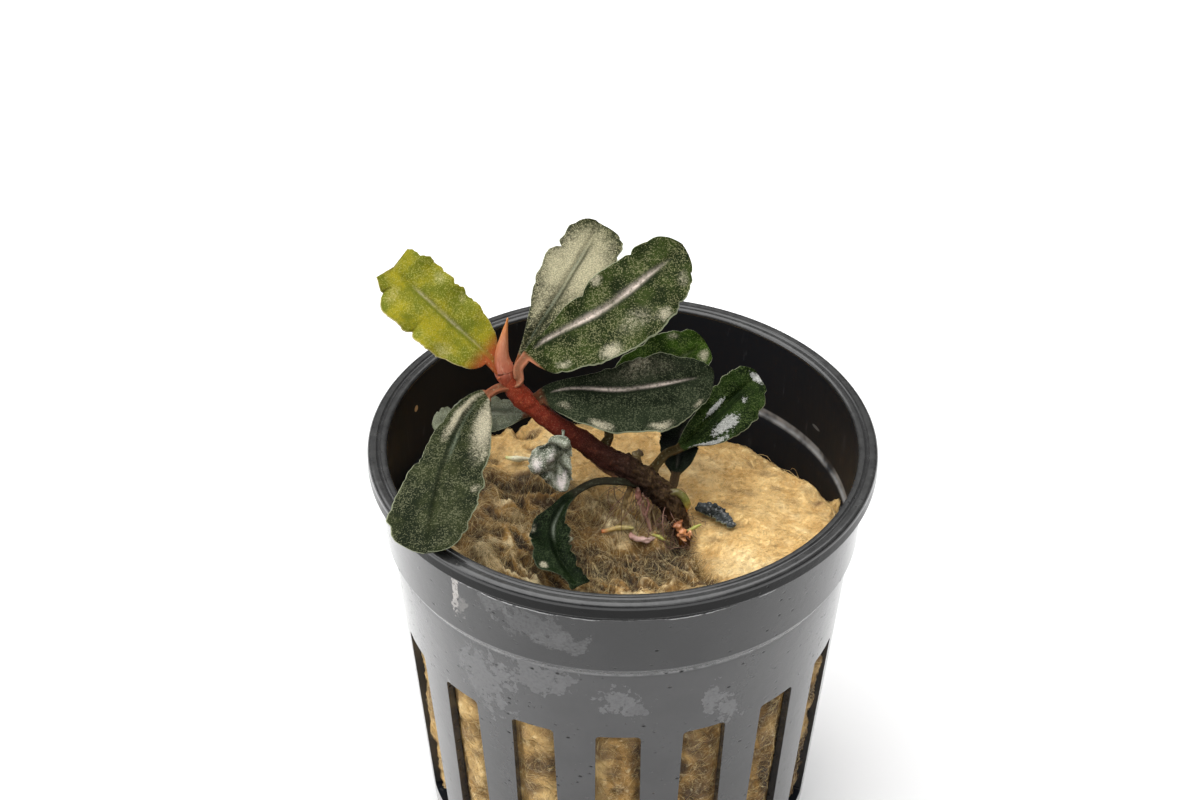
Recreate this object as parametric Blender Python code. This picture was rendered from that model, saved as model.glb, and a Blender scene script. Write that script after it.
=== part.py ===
"""A young bucephalandra plant, potted in a plug of mineral wool in a slotted 5 cm pot.

Sizes are in millimetres and become metres when a mesh is made. The origin is the
centre of the pot's flat bottom, +Z is up, and the front of the pot faces -Y.
"""
import math
from dataclasses import dataclass

import bmesh
import bpy
from mathutils import Matrix, Vector

MM = 0.001
TOUCHING = 1e-6
AXIS_STEP = 0.02
STEEP = 0.3
SHARP_DEG = 35.0

# Pot: outside sizes
POT_HEIGHT = 50.0
RIM_RADIUS = 27.5
LIP_DROP = 2.0
COLLAR_TOP_RADIUS = 26.3
COLLAR_FOOT_RADIUS = 25.75
COLLAR_FOOT_HEIGHT = 40.0
SHOULDER_RADIUS = 25.05
SHOULDER_HEIGHT = 38.4
FOOT_RADIUS = 21.0
FOOT_CHAMFER = 0.4
FOOT_CHAMFER_HEIGHT = 0.5
LIP_FILLET = 0.6
LIP_UNDERCUT = 0.1
POT_SHARP_DEG = 15.0

# Pot: the rim's top, as distances in from its outer edge and up from the mouth's edge
RIM_ROUND = 0.7
RIM_CREST_OUTER = 0.3
RIM_CREST_INNER = 0.7
RIM_GROOVE = 1.2
RIM_GROOVE_DEPTH = 0.25
INNER_CREST_OUTER = 0.6
INNER_CREST_INNER = 0.2
MOUTH_ROUND = 0.5

# Pot: inside sizes
MOUTH_RADIUS = 25.35
LEDGE_TOP_RADIUS = 24.85
LEDGE_TOP_HEIGHT = 39.6
WALL_THICKNESS = 1.0
FLOOR_THICKNESS = 1.2
INNER_FOOT_INSET = 0.12
POT_SEGMENTS = 64

# Pot: slots
SLOT_COUNT = 16
SLOT_TURN_DEG = -90.6
SLOT_WIDTH = 4.8
SLOT_TOP_HEIGHT = 28.9
SLOT_BOTTOM_HEIGHT = 5.0
SLOT_CORNER = 0.5
SLOT_CORNER_STEPS = 2
SLOT_CUTTER_RADIUS = 22.8
SLOT_CUTTER_REACH = 10.0

# Mineral wool plug
WOOL_GAP = 0.5
WOOL_TOP = 42.0
WOOL_SEGMENTS = 40
WOOL_RING_FRACTIONS = (0.03, 0.16, 0.30, 0.44, 0.57, 0.69, 0.80, 0.90, 1.0)
WOOL_SHOULDER = 38.0
WOOL_SIDE_HEIGHT = 18.0
WOOL_BACK_SLOPE = 1.35
WOOL_BACK_DEPTH = 7.5
WOOL_EDGE_HEIGHT = 1.0

# A slow swell in the wool's top: how high, and how fast it turns with x and y
WOOL_SWELL = 0.25
WOOL_SWELL_ALONG = (0.9, 0.4)
WOOL_SWELL_ACROSS = 0.7

# The wool's top edge: angle round the pot in degrees, and how far out the top stays level
WOOL_EDGE = ((-20.0, 24.6), (8.0, 21.0), (28.0, 15.4), (60.0, 13.2), (100.0, 13.8),
             (130.0, 17.5), (165.0, 22.0), (200.0, 24.6))

# Lumps and hollows in the wool's top: x, y, how wide, how high
WOOL_LUMPS = (
    (15.0, -6.0, 5.5, 1.1),
    (-6.0, 4.0, 5.0, 0.7),
    (-13.0, -9.0, 4.5, 0.6),
    (-3.0, -12.5, 3.5, -1.0),
    (3.0, -19.0, 4.0, 0.8),
    (10.0, -14.0, 2.2, -1.5),
    (7.2, -7.6, 2.6, -1.4),
)

# The pocket in the wool that the stem's foot stands in
POCKET_FOOT = (7.3, -7.1, 36.5)
POCKET_MOUTH = (6.6, -6.1, 46.0)
POCKET_RADIUS = 1.45
POCKET_SIDES = 12

# Rhizome: points along its middle from the foot to the crown, and its radius at each
STEM_ROUTE = (
    (7.3, -7.0, 38.0), (7.0, -6.5, 41.0), (6.0, -5.8, 43.9), (4.9, -5.3, 46.2), (2.9, -4.7, 48.0),
    (0.8, -4.1, 49.3), (-1.9, -3.4, 50.5), (-4.6, -2.6, 52.2), (-7.2, -1.9, 53.7), (-9.4, -1.2, 55.3),
    (-11.5, -0.5, 57.2), (-12.8, 0.0, 59.2),
)
STEM_RADII = (0.6, 0.75, 0.95, 1.2, 1.34, 1.38, 1.34, 1.26, 1.2, 1.18, 1.15, 0.95)
STEM_SIDES = 10
STEM_STATIONS = 30
STEM_SCAR_STEP = 3
STEM_SCAR_HEIGHT = 0.07
BUD_STATION = 0.47
BUD_SPREAD = 0.03
BUD_HEIGHT = 0.55

# Leaf blades
BLADE_STATIONS = 22
STALK_STATIONS = 3
LEAF_ACROSS = ((-1.0, 0.0), (-0.5, 0.5), (0.0, 0.4), (0.5, 0.5), (1.0, 0.0),
               (0.5, -0.5), (0.0, -1.0), (-0.5, -0.5))
BLADE_THICKNESS = 0.45
STALK_HALF_THICKNESS = 0.42
TIP_HALF_WIDTH = 0.3
BLADE_GROWN_AT = 0.12
RUFFLE_FROM = 0.15
RUFFLE_FULL_AT = 0.5
WAVE_LAG = 1.3
LEAF_ROUGHNESS = 0.35

# Finishes: the colour of each, and its roughness
FINISHES = {
    "pot_plastic": ((0.02, 0.021, 0.022), 0.3),
    "mineral_wool": ((0.45, 0.32, 0.14), 0.95),
    "stem_skin": ((0.22, 0.05, 0.035), 0.5),
    "new_leaf": ((0.50, 0.16, 0.07), 0.45),
    "root": ((0.34, 0.15, 0.10), 0.6),
    "shoot": ((0.62, 0.50, 0.16), 0.6),
    "sprout": ((0.78, 0.74, 0.58), 0.6),
}
DARK_GREEN = (0.022, 0.045, 0.026)
MID_GREEN = (0.035, 0.085, 0.022)
YELLOW_GREEN = (0.30, 0.33, 0.055)
SILVER_GREEN = (0.30, 0.34, 0.26)


@dataclass(frozen=True)
class Leaf:
    """One leaf: its stalk and midrib route, the way its blade faces, and its outline."""

    name: str
    route: tuple
    blade_from: int
    face: tuple
    left: tuple
    right: tuple
    colour: tuple
    face_tip: tuple = None
    stations: int = BLADE_STATIONS
    tooth: float = 0.35
    ruffle: float = 0.3
    waves: float = 3.5
    fold_deg: float = 7.0
    stalk_half_width: float = 0.5
    torn_tip: tuple = None


LEAVES = (
    Leaf("leaf_1_yellow", ((-14.05, 0.35, 59.15), (-14.5, 0.6, 59.8), (-19.4, 2.7, 65.1), (-24.8, 6.0, 68.6)),
         1, (0.30, -0.60, 0.74), (2.6, 3.5, 4.3, 4.7, 4.3, 4.7, 3.8), (1.9, 2.6, 3.1, 3.5, 3.5, 3.7, 3.2),
         YELLOW_GREEN, torn_tip=(2.2, 2.7)),
    Leaf("leaf_2_pale", ((-11.3, 1.5, 58.4), (-10.9, 1.9, 60.1), (-6.4, 7.5, 65.3), (-2.7, 14.3, 68.6)),
         1, (-0.1, -0.5, 0.86), (0.9, 1.7, 2.7, 3.3, 3.5, 2.9, 2.7), (1.8, 2.7, 3.4, 3.7, 3.9, 4.0, 3.8),
         SILVER_GREEN, fold_deg=9.0),
    Leaf("leaf_3_large",
         ((-10.3, -0.4, 58.8), (-10.5, -0.1, 59.9), (-10.2, 0.4, 60.9), (-1.6, 2.8, 66.0), (6.3, 8.0, 70.0)),
         2, (-0.15, -0.62, 0.77), (0.9, 1.8, 2.7, 3.5, 3.7, 3.5, 3.3), (3.6, 4.9, 5.5, 5.8, 5.9, 5.3, 4.1),
         DARK_GREEN, waves=4.5),
    Leaf("leaf_4_back",
         ((-1.5, -1.7, 51.9), (-1.5, 0.3, 52.0), (-1.3, 2.0, 51.6), (3.4, 6.2, 54.4), (9.0, 9.6, 56.2)),
         2, (-0.05, -0.5, 0.86), (2.2, 3.1, 3.8, 3.8, 3.8, 3.6, 3.0), (2.2, 3.2, 3.9, 4.1, 4.0, 3.6, 2.9),
         MID_GREEN),
    Leaf("leaf_5_dark", ((-8.4, -0.9, 57.1), (-7.4, -0.8, 57.5), (0.9, -0.9, 57.8), (9.6, 1.6, 57.8)),
         1, (0.05, -0.62, 0.78), (1.2, 1.6, 2.3, 3.1, 3.4, 3.2, 2.3), (2.8, 4.1, 4.9, 5.0, 5.4, 4.6, 3.3),
         DARK_GREEN, tooth=0.25),
    Leaf("leaf_6_right",
         ((3.55, -3.6, 49.6), (4.6, -2.4, 50.2), (6.0, -1.0, 49.9), (10.6, 3.4, 51.9), (14.6, 7.9, 53.2)),
         2, (0.25, -0.55, 0.80), (1.2, 1.6, 2.0, 2.3, 2.5, 2.5, 2.3), (1.1, 2.4, 3.2, 3.6, 3.7, 3.3, 2.4),
         DARK_GREEN, fold_deg=14.0),
    Leaf("leaf_7_low", ((5.5, -3.6, 47.2), (5.7, -2.6, 47.7), (6.2, 1.6, 49.0), (6.7, 5.6, 48.4)),
         1, (0.0, -0.3, 0.95), (1.4, 1.9, 2.1, 2.2, 2.1, 1.9, 1.4), (1.4, 1.9, 2.1, 2.2, 2.1, 1.9, 1.4),
         DARK_GREEN, stations=14, tooth=0.15, ruffle=0.12),
    Leaf("leaf_8_over_rim",
         ((-13.6, -0.7, 57.7), (-14.1, -0.9, 57.7), (-14.7, -1.6, 57.2), (-18.4, -10.6, 55.2),
          (-20.3, -20.9, 51.4)),
         2, (-0.1, -0.35, 0.95), (2.4, 3.4, 4.0, 4.3, 4.6, 4.4, 3.6), (1.9, 2.5, 3.1, 3.5, 4.2, 4.7, 4.3),
         DARK_GREEN, fold_deg=-5.0),
    Leaf("leaf_9_under", ((-11.1, -0.3, 54.3), (-11.6, -0.3, 54.3), (-16.0, -0.6, 53.8), (-20.4, -1.0, 52.8)),
         1, (-0.1, -0.25, 0.96), (1.9, 2.6, 3.0, 3.3, 3.2, 2.7, 1.9), (1.9, 2.6, 3.0, 3.3, 3.3, 2.8, 1.9),
         MID_GREEN, ruffle=0.35),
    Leaf("leaf_10_torn", ((-6.5, -4.4, 54.4), (-6.6, -4.7, 53.6), (-7.0, -5.2, 51.0), (-7.1, -5.4, 47.6)),
         1, (0.05, -0.85, 0.5), (0.8, 1.0, 1.3, 1.7, 2.0, 2.1, 1.7), (0.7, 1.4, 2.1, 2.6, 2.8, 2.6, 1.9),
         SILVER_GREEN, stations=14, tooth=0.2, ruffle=0.25, stalk_half_width=0.35),
    Leaf("leaf_11_curled",
         ((0.1, -5.9, 48.4), (-2.4, -5.9, 49.1), (-4.8, -6.3, 48.2), (-7.2, -9.6, 46.2), (-6.9, -13.2, 45.6),
          (-4.5, -17.4, 44.0)),
         2, (-0.35, -0.45, 0.80), (0.8, 1.3, 1.9, 2.2, 2.2, 1.8, 1.4), (1.0, 1.6, 2.2, 2.5, 2.3, 2.4, 1.7),
         DARK_GREEN, face_tip=(0.25, -0.45, 0.85), tooth=0.3, ruffle=0.5, fold_deg=14.0,
         stalk_half_width=0.42),
)

# Roots and shoots: route, and the radius at the start and at the end. Where a point has
# two numbers only, the thread lies on the wool there.
THREADS = {
    "root_1": (((1.3, -4.5, 46.9), (1.6, -4.2, 45.0), (2.6, -4.4)), 0.40, 0.30),
    "root_2": (((2.7, -4.9, 45.7), (3.1, -4.7, 44.2), (3.4, -3.6)), 0.42, 0.30),
    "root_3": (((0.2, -4.2, 47.5), (0.0, -3.6, 45.2), (0.6, -2.6)), 0.35, 0.25),
    "shoot_yellow": (((-2.6, -4.9), (-0.6, -5.2), (1.5, -6.2)), 0.32, 0.22),
    "shoot_green": (((8.9, -6.5), (9.6, -6.7), (10.8, -6.8)), 0.30, 0.20),
    "sprout_white": (((-12.8, 6.1), (-11.6, 5.6), (-10.1, 5.5)), 0.40, 0.18),
}
THREAD_CLEARANCE = 0.85
THREAD_SIDES = 6
THREAD_STATIONS = 5

NEW_LEAF_ROUTE = ((-12.95, 0.1, 59.9), (-13.0, 0.25, 61.2), (-12.7, 0.3, 63.3), (-12.3, 0.2, 66.1))
NEW_LEAF_RADII = (0.8, 0.78, 0.5, 0.14)
NEW_LEAF_STATIONS = 9
NEW_LEAF_SIDES = 8

SCRAP_ROUTE = ((8.1, -2.3, 43.4), (10.3, -3.6, 43.9), (12.2, -5.4, 43.6))
SCRAP = Leaf("leaf_scrap", SCRAP_ROUTE, 0, (0.3, -0.4, 0.86), (0.7, 0.8, 0.9, 0.9, 0.8, 0.7, 0.5),
             (0.6, 0.8, 0.9, 0.9, 0.9, 0.8, 0.6), DARK_GREEN, stations=10, tooth=0.1, ruffle=0.1,
             fold_deg=-25.0)


def clear_scene():
    """Removes every object that the file starts with."""
    for item in list(bpy.data.objects):
        bpy.data.objects.remove(item)


def make_material(name, colour, roughness):
    """A plain finish of one colour."""
    material = bpy.data.materials.new(name)
    material.use_nodes = True
    shader = material.node_tree.nodes["Principled BSDF"]
    shader.inputs["Base Color"].default_value = (*colour, 1.0)
    shader.inputs["Roughness"].default_value = roughness
    return material


def make_finish(name):
    """One of the finishes from the list."""
    return make_material(name, *FINISHES[name])


def add_object(name, mesh, material, sharp_deg=SHARP_DEG):
    """Links a mesh to the scene as one smooth-shaded object with its sharper edges kept."""
    item = bpy.data.objects.new(name, mesh)
    bpy.context.scene.collection.objects.link(item)
    mesh.materials.append(material)
    mesh.shade_smooth()
    mesh.set_sharp_from_angle(angle=math.radians(sharp_deg))
    return item


def heading(points, index):
    """The direction of the smooth curve at one of its points, as a step of unit length."""
    here = Vector(points[index])
    steps = []
    if index > 0:
        steps.append(here - Vector(points[index - 1]))
    if index < len(points) - 1:
        steps.append(Vector(points[index + 1]) - here)
    if len(steps) == 1:
        return steps[0].normalized()
    before, after = steps
    whole = before.length + after.length
    return (before.normalized() * after.length + after.normalized() * before.length) / whole


def along(points, place):
    """The point of a smooth curve through the points, where place counts the points from 0."""
    index = min(int(place), len(points) - 2)
    part = place - index
    here = Vector(points[index])
    there = Vector(points[index + 1])
    span = (there - here).length
    leave = heading(points, index) * span
    arrive = heading(points, index + 1) * span
    bend = part * part * (3 - 2 * part)
    curve = here + (there - here) * bend
    curve += leave * (part * (1 - part) ** 2)
    curve -= arrive * (part * part * (1 - part))
    return curve


def axis_at(points, place):
    """The way that a smooth curve through the points runs at a place, of unit length."""
    step = min(max(place, AXIS_STEP), len(points) - 1 - AXIS_STEP)
    return (along(points, step + AXIS_STEP) - along(points, step - AXIS_STEP)).normalized()


def between(values, place):
    """A smooth curve through plain numbers that stand one apart, read at a place."""
    last = len(values) - 1
    index = min(int(place), last - 1)
    part = place - index
    here = values[index]
    there = values[index + 1]
    before = values[index - 1] if index else here
    after = values[index + 2] if index + 2 <= last else there
    leave = (there - before) / 2
    arrive = (after - here) / 2
    bend = part * part * (3 - 2 * part)
    return here + (there - here) * bend + leave * part * (1 - part) ** 2 - arrive * part * part * (1 - part)


def ease(value, low, high):
    """Rises smoothly from 0 at low to 1 at high."""
    part = min(max((value - low) / (high - low), 0.0), 1.0)
    return part * part * (3 - 2 * part)


def loft(name, rings, material):
    """Joins rings of points, each in millimetres, to one closed skin with a face at both ends."""
    mesh = bpy.data.meshes.new(name)
    model = bmesh.new()
    loops = [[model.verts.new(point * MM) for point in ring] for ring in rings]
    size = len(loops[0])
    for first, second in zip(loops, loops[1:]):
        for side in range(size):
            beside = (side + 1) % size
            model.faces.new((first[side], first[beside], second[beside], second[side]))
    model.faces.new(loops[0][::-1])
    model.faces.new(loops[-1])
    bmesh.ops.recalc_face_normals(model, faces=model.faces)
    model.to_mesh(mesh)
    model.free()
    return add_object(name, mesh, material)


def pot_profile():
    """The turned section of the pot as (radius, height), from the bottom's middle to the floor's."""
    inner_foot = FOOT_RADIUS - WALL_THICKNESS + INNER_FOOT_INSET
    lip = POT_HEIGHT - LIP_DROP
    return (
        (0.0, 0.0),
        (FOOT_RADIUS - FOOT_CHAMFER, 0.0),
        (FOOT_RADIUS, FOOT_CHAMFER_HEIGHT),
        (SHOULDER_RADIUS, SHOULDER_HEIGHT),
        (COLLAR_FOOT_RADIUS, COLLAR_FOOT_HEIGHT),
        (COLLAR_TOP_RADIUS, lip - LIP_FILLET),
        (COLLAR_TOP_RADIUS + LIP_FILLET / 2, lip - LIP_FILLET / 3),
        (RIM_RADIUS - LIP_UNDERCUT, lip),
        (RIM_RADIUS, POT_HEIGHT - RIM_ROUND),
        (RIM_RADIUS - RIM_CREST_OUTER, POT_HEIGHT),
        (RIM_RADIUS - RIM_CREST_INNER, POT_HEIGHT),
        (RIM_RADIUS - RIM_GROOVE, POT_HEIGHT - RIM_GROOVE_DEPTH),
        (MOUTH_RADIUS + INNER_CREST_OUTER, POT_HEIGHT),
        (MOUTH_RADIUS + INNER_CREST_INNER, POT_HEIGHT),
        (MOUTH_RADIUS, POT_HEIGHT - MOUTH_ROUND),
        (LEDGE_TOP_RADIUS, LEDGE_TOP_HEIGHT),
        (SHOULDER_RADIUS - WALL_THICKNESS, SHOULDER_HEIGHT),
        (inner_foot, FLOOR_THICKNESS),
        (0.0, FLOOR_THICKNESS),
    )


def inner_radius(height):
    """The radius of the pot's inside at a height."""
    top = SHOULDER_RADIUS - WALL_THICKNESS
    if height >= SHOULDER_HEIGHT:
        return top + (LEDGE_TOP_RADIUS - top) * ease(height, SHOULDER_HEIGHT, LEDGE_TOP_HEIGHT)
    foot = FOOT_RADIUS - WALL_THICKNESS
    return foot + (top - foot) * min(height / SHOULDER_HEIGHT, 1.0)


def slot_cutter():
    """Sixteen blocks in one object, one for each slot of the pot's wall."""
    model = bmesh.new()
    height = SLOT_TOP_HEIGHT - SLOT_BOTTOM_HEIGHT
    middle = (SLOT_TOP_HEIGHT + SLOT_BOTTOM_HEIGHT) / 2
    for number in range(SLOT_COUNT):
        turn = math.radians(SLOT_TURN_DEG + number * 360.0 / SLOT_COUNT)
        centre = Vector((SLOT_CUTTER_RADIUS, 0.0, middle)) * MM
        place = Matrix.Rotation(turn, 4, "Z") @ Matrix.Translation(centre)
        size = Matrix.Diagonal((SLOT_CUTTER_REACH * MM, SLOT_WIDTH * MM, height * MM, 1.0))
        bmesh.ops.create_cube(model, size=1.0, matrix=place @ size)
    edges = [edge for edge in model.edges if is_slot_corner(edge)]
    bmesh.ops.bevel(model, geom=edges, offset=SLOT_CORNER * MM, segments=SLOT_CORNER_STEPS, profile=0.5,
                    affect="EDGES")
    mesh = bpy.data.meshes.new("slot_cutter")
    model.to_mesh(mesh)
    model.free()
    return hidden_cutter("slot_cutter", mesh)


def is_slot_corner(edge):
    """True for the level edges that run through the wall, at a slot's top and bottom corners."""
    first, second = (vert.co for vert in edge.verts)
    level = abs(first.z - second.z) < TOUCHING
    return level and abs(first.xy.length - second.xy.length) > SLOT_CUTTER_REACH / 2 * MM


def hidden_cutter(name, mesh):
    """Links a mesh as a guide that only Boolean modifiers use."""
    cutter = bpy.data.objects.new(name, mesh)
    bpy.context.scene.collection.objects.link(cutter)
    cutter.hide_render = True
    cutter.display_type = "WIRE"
    return cutter


def cut_away(item, cutter):
    """Takes the cutter's volume out of an object."""
    cut = item.modifiers.new(cutter.name, "BOOLEAN")
    cut.operation = "DIFFERENCE"
    cut.solver = "EXACT"
    cut.object = cutter


def make_pot():
    """Turns the pot's section once round and cuts the slots out of its wall."""
    model = bmesh.new()
    verts = [model.verts.new((radius * MM, 0.0, height * MM)) for radius, height in pot_profile()]
    edges = [model.edges.new(pair) for pair in zip(verts, verts[1:])]
    bmesh.ops.spin(model, geom=verts + edges, axis=(0, 0, 1), cent=(0, 0, 0),
                   angle=math.tau, steps=POT_SEGMENTS, use_duplicate=False)
    bmesh.ops.remove_doubles(model, verts=model.verts, dist=TOUCHING)
    bmesh.ops.recalc_face_normals(model, faces=model.faces)
    mesh = bpy.data.meshes.new("pot")
    model.to_mesh(mesh)
    model.free()
    pot = add_object("pot", mesh, make_finish("pot_plastic"), POT_SHARP_DEG)
    cut_away(pot, slot_cutter())


def wool_edge(angle_deg):
    """How far out the wool's top stays level, at an angle round the pot."""
    start = WOOL_EDGE[0][0]
    angle = (angle_deg - start) % 360.0 + start
    for (first, near), (second, far) in zip(WOOL_EDGE, WOOL_EDGE[1:]):
        if first <= angle <= second:
            return near + (far - near) * ease(angle, first, second)
    return WOOL_EDGE[0][1]


def wool_height(x, y):
    """The height of the wool's top over a point of the pot."""
    height = WOOL_TOP
    for lump_x, lump_y, width, lift in WOOL_LUMPS:
        distance = math.hypot(x - lump_x, y - lump_y) / width
        height += lift * math.exp(-distance ** 2)
    along_x, along_y = WOOL_SWELL_ALONG
    height += WOOL_SWELL * math.sin(along_x * x + along_y * y) * math.cos(WOOL_SWELL_ACROSS * y)
    past = math.hypot(x, y) - wool_edge(math.degrees(math.atan2(y, x)))
    return height - min(max(past, 0.0) * WOOL_BACK_SLOPE, WOOL_BACK_DEPTH)


def wool_ring(fraction):
    """One ring of the wool's top, drawn in where the pot's wall is narrower."""
    ring = []
    for number in range(WOOL_SEGMENTS):
        angle = math.tau * number / WOOL_SEGMENTS
        reach = LEDGE_TOP_RADIUS * fraction
        height = wool_height(reach * math.cos(angle), reach * math.sin(angle))
        reach = min(reach, inner_radius(height) - WOOL_GAP)
        ring.append(Vector((reach * math.cos(angle), reach * math.sin(angle), height)))
    return ring


def wool_side_ring(top_ring, height):
    """One ring of the wool's side, close behind the pot's wall and under the top's edge."""
    ring = []
    for edge in top_ring:
        level = min(height, edge.z - WOOL_EDGE_HEIGHT)
        outward = Vector((edge.x, edge.y)).normalized() * (inner_radius(level) - WOOL_GAP)
        ring.append(Vector((outward.x, outward.y, level)))
    return ring


def make_wool():
    """The plug of mineral wool, with the pocket that the stem's foot stands in."""
    rings = [wool_ring(fraction) for fraction in WOOL_RING_FRACTIONS]
    edge = rings[-1]
    for height in (WOOL_SHOULDER, WOOL_SIDE_HEIGHT, FLOOR_THICKNESS + WOOL_GAP):
        rings.append(wool_side_ring(edge, height))
    wool = loft("mineral_wool", rings, make_finish("mineral_wool"))
    start = Vector(POCKET_FOOT)
    end = Vector(POCKET_MOUTH)
    way = (end - start).to_track_quat("Z", "Y").to_matrix().to_4x4()
    model = bmesh.new()
    bmesh.ops.create_cone(model, cap_ends=True, segments=POCKET_SIDES, radius1=POCKET_RADIUS * MM,
                          radius2=POCKET_RADIUS * MM, depth=(end - start).length * MM,
                          matrix=Matrix.Translation((start + end) / 2 * MM) @ way)
    mesh = bpy.data.meshes.new("pocket_cutter")
    model.to_mesh(mesh)
    model.free()
    cut_away(wool, hidden_cutter("pocket_cutter", mesh))


def tube_rings(route, radii, stations, sides, shape=None):
    """Round rings along a route, whose radius follows the radii."""
    rings = []
    guide = Vector((0.0, 0.0, 1.0))
    for number in range(stations):
        share = number / (stations - 1)
        place = share * (len(route) - 1)
        middle = along(route, place)
        axis = axis_at(route, place)
        across = axis.cross(guide)
        if across.length < STEEP:
            across = axis.cross(Vector((0.0, 1.0, 0.0)))
        across.normalize()
        upward = across.cross(axis)
        radius = between(radii, share * (len(radii) - 1))
        ring = []
        for side in range(sides):
            turn = math.tau * side / sides
            reach = radius + (shape(number, share, turn) if shape else 0.0)
            ring.append(middle + across * math.cos(turn) * reach + upward * math.sin(turn) * reach)
        rings.append(ring)
    return rings


def stem_shape(number, share, turn):
    """The rings of old leaf scars and the one bud on the stem's upper side."""
    scar = STEM_SCAR_HEIGHT if number % STEM_SCAR_STEP == 0 else 0.0
    bud = BUD_HEIGHT * math.exp(-((share - BUD_STATION) / BUD_SPREAD) ** 2)
    return scar + bud * max(math.sin(turn), 0.0) ** 3


def make_stem():
    """The creeping stem, which leans out of the wool to the crown."""
    rings = tube_rings(STEM_ROUTE, STEM_RADII, STEM_STATIONS, STEM_SIDES, stem_shape)
    loft("rhizome", rings, make_finish("stem_skin"))


def make_new_leaf():
    """The rolled new leaf that stands on the crown like a spear."""
    rings = tube_rings(NEW_LEAF_ROUTE, NEW_LEAF_RADII, NEW_LEAF_STATIONS, NEW_LEAF_SIDES)
    loft("new_leaf_spear", rings, make_finish("new_leaf"))


def half_width(widths, leaf, share):
    """Half the blade's width on one side, from its base at share 0 to its tip at 1."""
    steps = len(widths) + 1
    start = leaf.stalk_half_width
    if share <= 1 - 1 / steps:
        return between((start, *widths), share * steps)
    last = (share - 1 + 1 / steps) * steps
    return TIP_HALF_WIDTH + (widths[-1] - TIP_HALF_WIDTH) * math.sqrt(max(1 - last ** 2, 0.0))


def torn_half_width(widths, end, leaf, share):
    """Half the width of a blade that is torn off square at its end."""
    return between((leaf.stalk_half_width, *widths, end), share * (len(widths) + 1))


def blade_widths(leaf, share):
    """The half widths on the blade's left and right side."""
    if leaf.torn_tip:
        return (torn_half_width(leaf.left, leaf.torn_tip[0], leaf, share),
                torn_half_width(leaf.right, leaf.torn_tip[1], leaf, share))
    return half_width(leaf.left, leaf, share), half_width(leaf.right, leaf, share)


def leaf_ring(leaf, place, share, notch):
    """One section across a leaf. Share is 0 on the stalk and runs to 1 along the blade."""
    axis = axis_at(leaf.route, place)
    face = Vector(leaf.face).lerp(Vector(leaf.face_tip or leaf.face), share)
    side = axis.cross(face).normalized()
    upward = side.cross(axis)
    blade = ease(share, 0.0, BLADE_GROWN_AT)
    left, right = blade_widths(leaf, share)
    grown = ease(share, RUFFLE_FROM, RUFFLE_FULL_AT)
    left -= leaf.tooth * grown * notch
    right -= leaf.tooth * grown * notch
    thick = BLADE_THICKNESS * blade + 2 * STALK_HALF_THICKNESS * (1 - blade)
    rise = math.tan(math.radians(leaf.fold_deg)) * blade
    ring = []
    for across, height in LEAF_ACROSS:
        width = right if across > 0 else left
        wave = math.sin(math.tau * leaf.waves * share + across * WAVE_LAG) * leaf.ruffle * grown
        lift = height * thick + abs(across) * width * rise + wave * across ** 2
        ring.append(along(leaf.route, place) + side * across * width + upward * lift)
    return ring


def make_leaf(leaf):
    """One leaf with its stalk, from the stem to the blade's tip."""
    last = len(leaf.route) - 1
    rings = []
    if leaf.blade_from:
        for number in range(STALK_STATIONS):
            rings.append(leaf_ring(leaf, leaf.blade_from * number / STALK_STATIONS, 0.0, 0))
    for number in range(leaf.stations + 1):
        share = number / leaf.stations
        place = leaf.blade_from + (last - leaf.blade_from) * share
        notch = number % 2 if number < leaf.stations else 0
        rings.append(leaf_ring(leaf, place, share, notch))
    loft(leaf.name, rings, make_material(leaf.name, leaf.colour, LEAF_ROUGHNESS))


def on_the_wool(x, y):
    """A point just clear of the wool's top."""
    return x, y, wool_height(x, y) + THREAD_CLEARANCE


def make_threads():
    """The roots and small shoots round the stem's foot."""
    finishes = {kind: make_finish(kind) for kind in ("root", "shoot", "sprout")}
    for name, (route, start, end) in THREADS.items():
        route = [point if len(point) == 3 else on_the_wool(*point) for point in route]
        rings = tube_rings(route, (start, end), THREAD_STATIONS, THREAD_SIDES)
        loft(name, rings, finishes[name.split("_")[0]])


def main():
    """Builds the pot, the wool, the stem and all that grows from it."""
    clear_scene()
    make_pot()
    make_wool()
    make_stem()
    make_new_leaf()
    for leaf in LEAVES + (SCRAP,):
        make_leaf(leaf)
    make_threads()


main()
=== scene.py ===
"""Dresses a young bucephalandra plant, potted in a plug of mineral wool in a slotted 5 cm pot.

Sizes are in millimetres and become metres when a mesh is placed. The origin is the middle
of the pot's flat bottom, +Z is up, and the front of the pot faces -Y.
"""
import logging
import math
from collections.abc import Callable
from dataclasses import dataclass, replace
from enum import Enum

import bpy
import numpy as np
from mathutils import Matrix, Vector


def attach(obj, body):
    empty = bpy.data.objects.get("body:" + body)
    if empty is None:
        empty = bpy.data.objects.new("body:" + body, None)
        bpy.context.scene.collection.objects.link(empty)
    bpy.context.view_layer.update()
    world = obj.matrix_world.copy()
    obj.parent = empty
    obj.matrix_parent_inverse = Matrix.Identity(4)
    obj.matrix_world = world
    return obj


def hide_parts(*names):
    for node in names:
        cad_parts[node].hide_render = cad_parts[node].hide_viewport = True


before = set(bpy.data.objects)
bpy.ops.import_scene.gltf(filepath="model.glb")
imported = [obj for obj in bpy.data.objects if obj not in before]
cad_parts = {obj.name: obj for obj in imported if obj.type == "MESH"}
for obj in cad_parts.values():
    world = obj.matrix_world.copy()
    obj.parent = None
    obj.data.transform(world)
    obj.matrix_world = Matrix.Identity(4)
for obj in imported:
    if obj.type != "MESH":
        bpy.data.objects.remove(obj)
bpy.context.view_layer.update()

LOG = logging.getLogger("bucephalandra")
MM = 0.001
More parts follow.
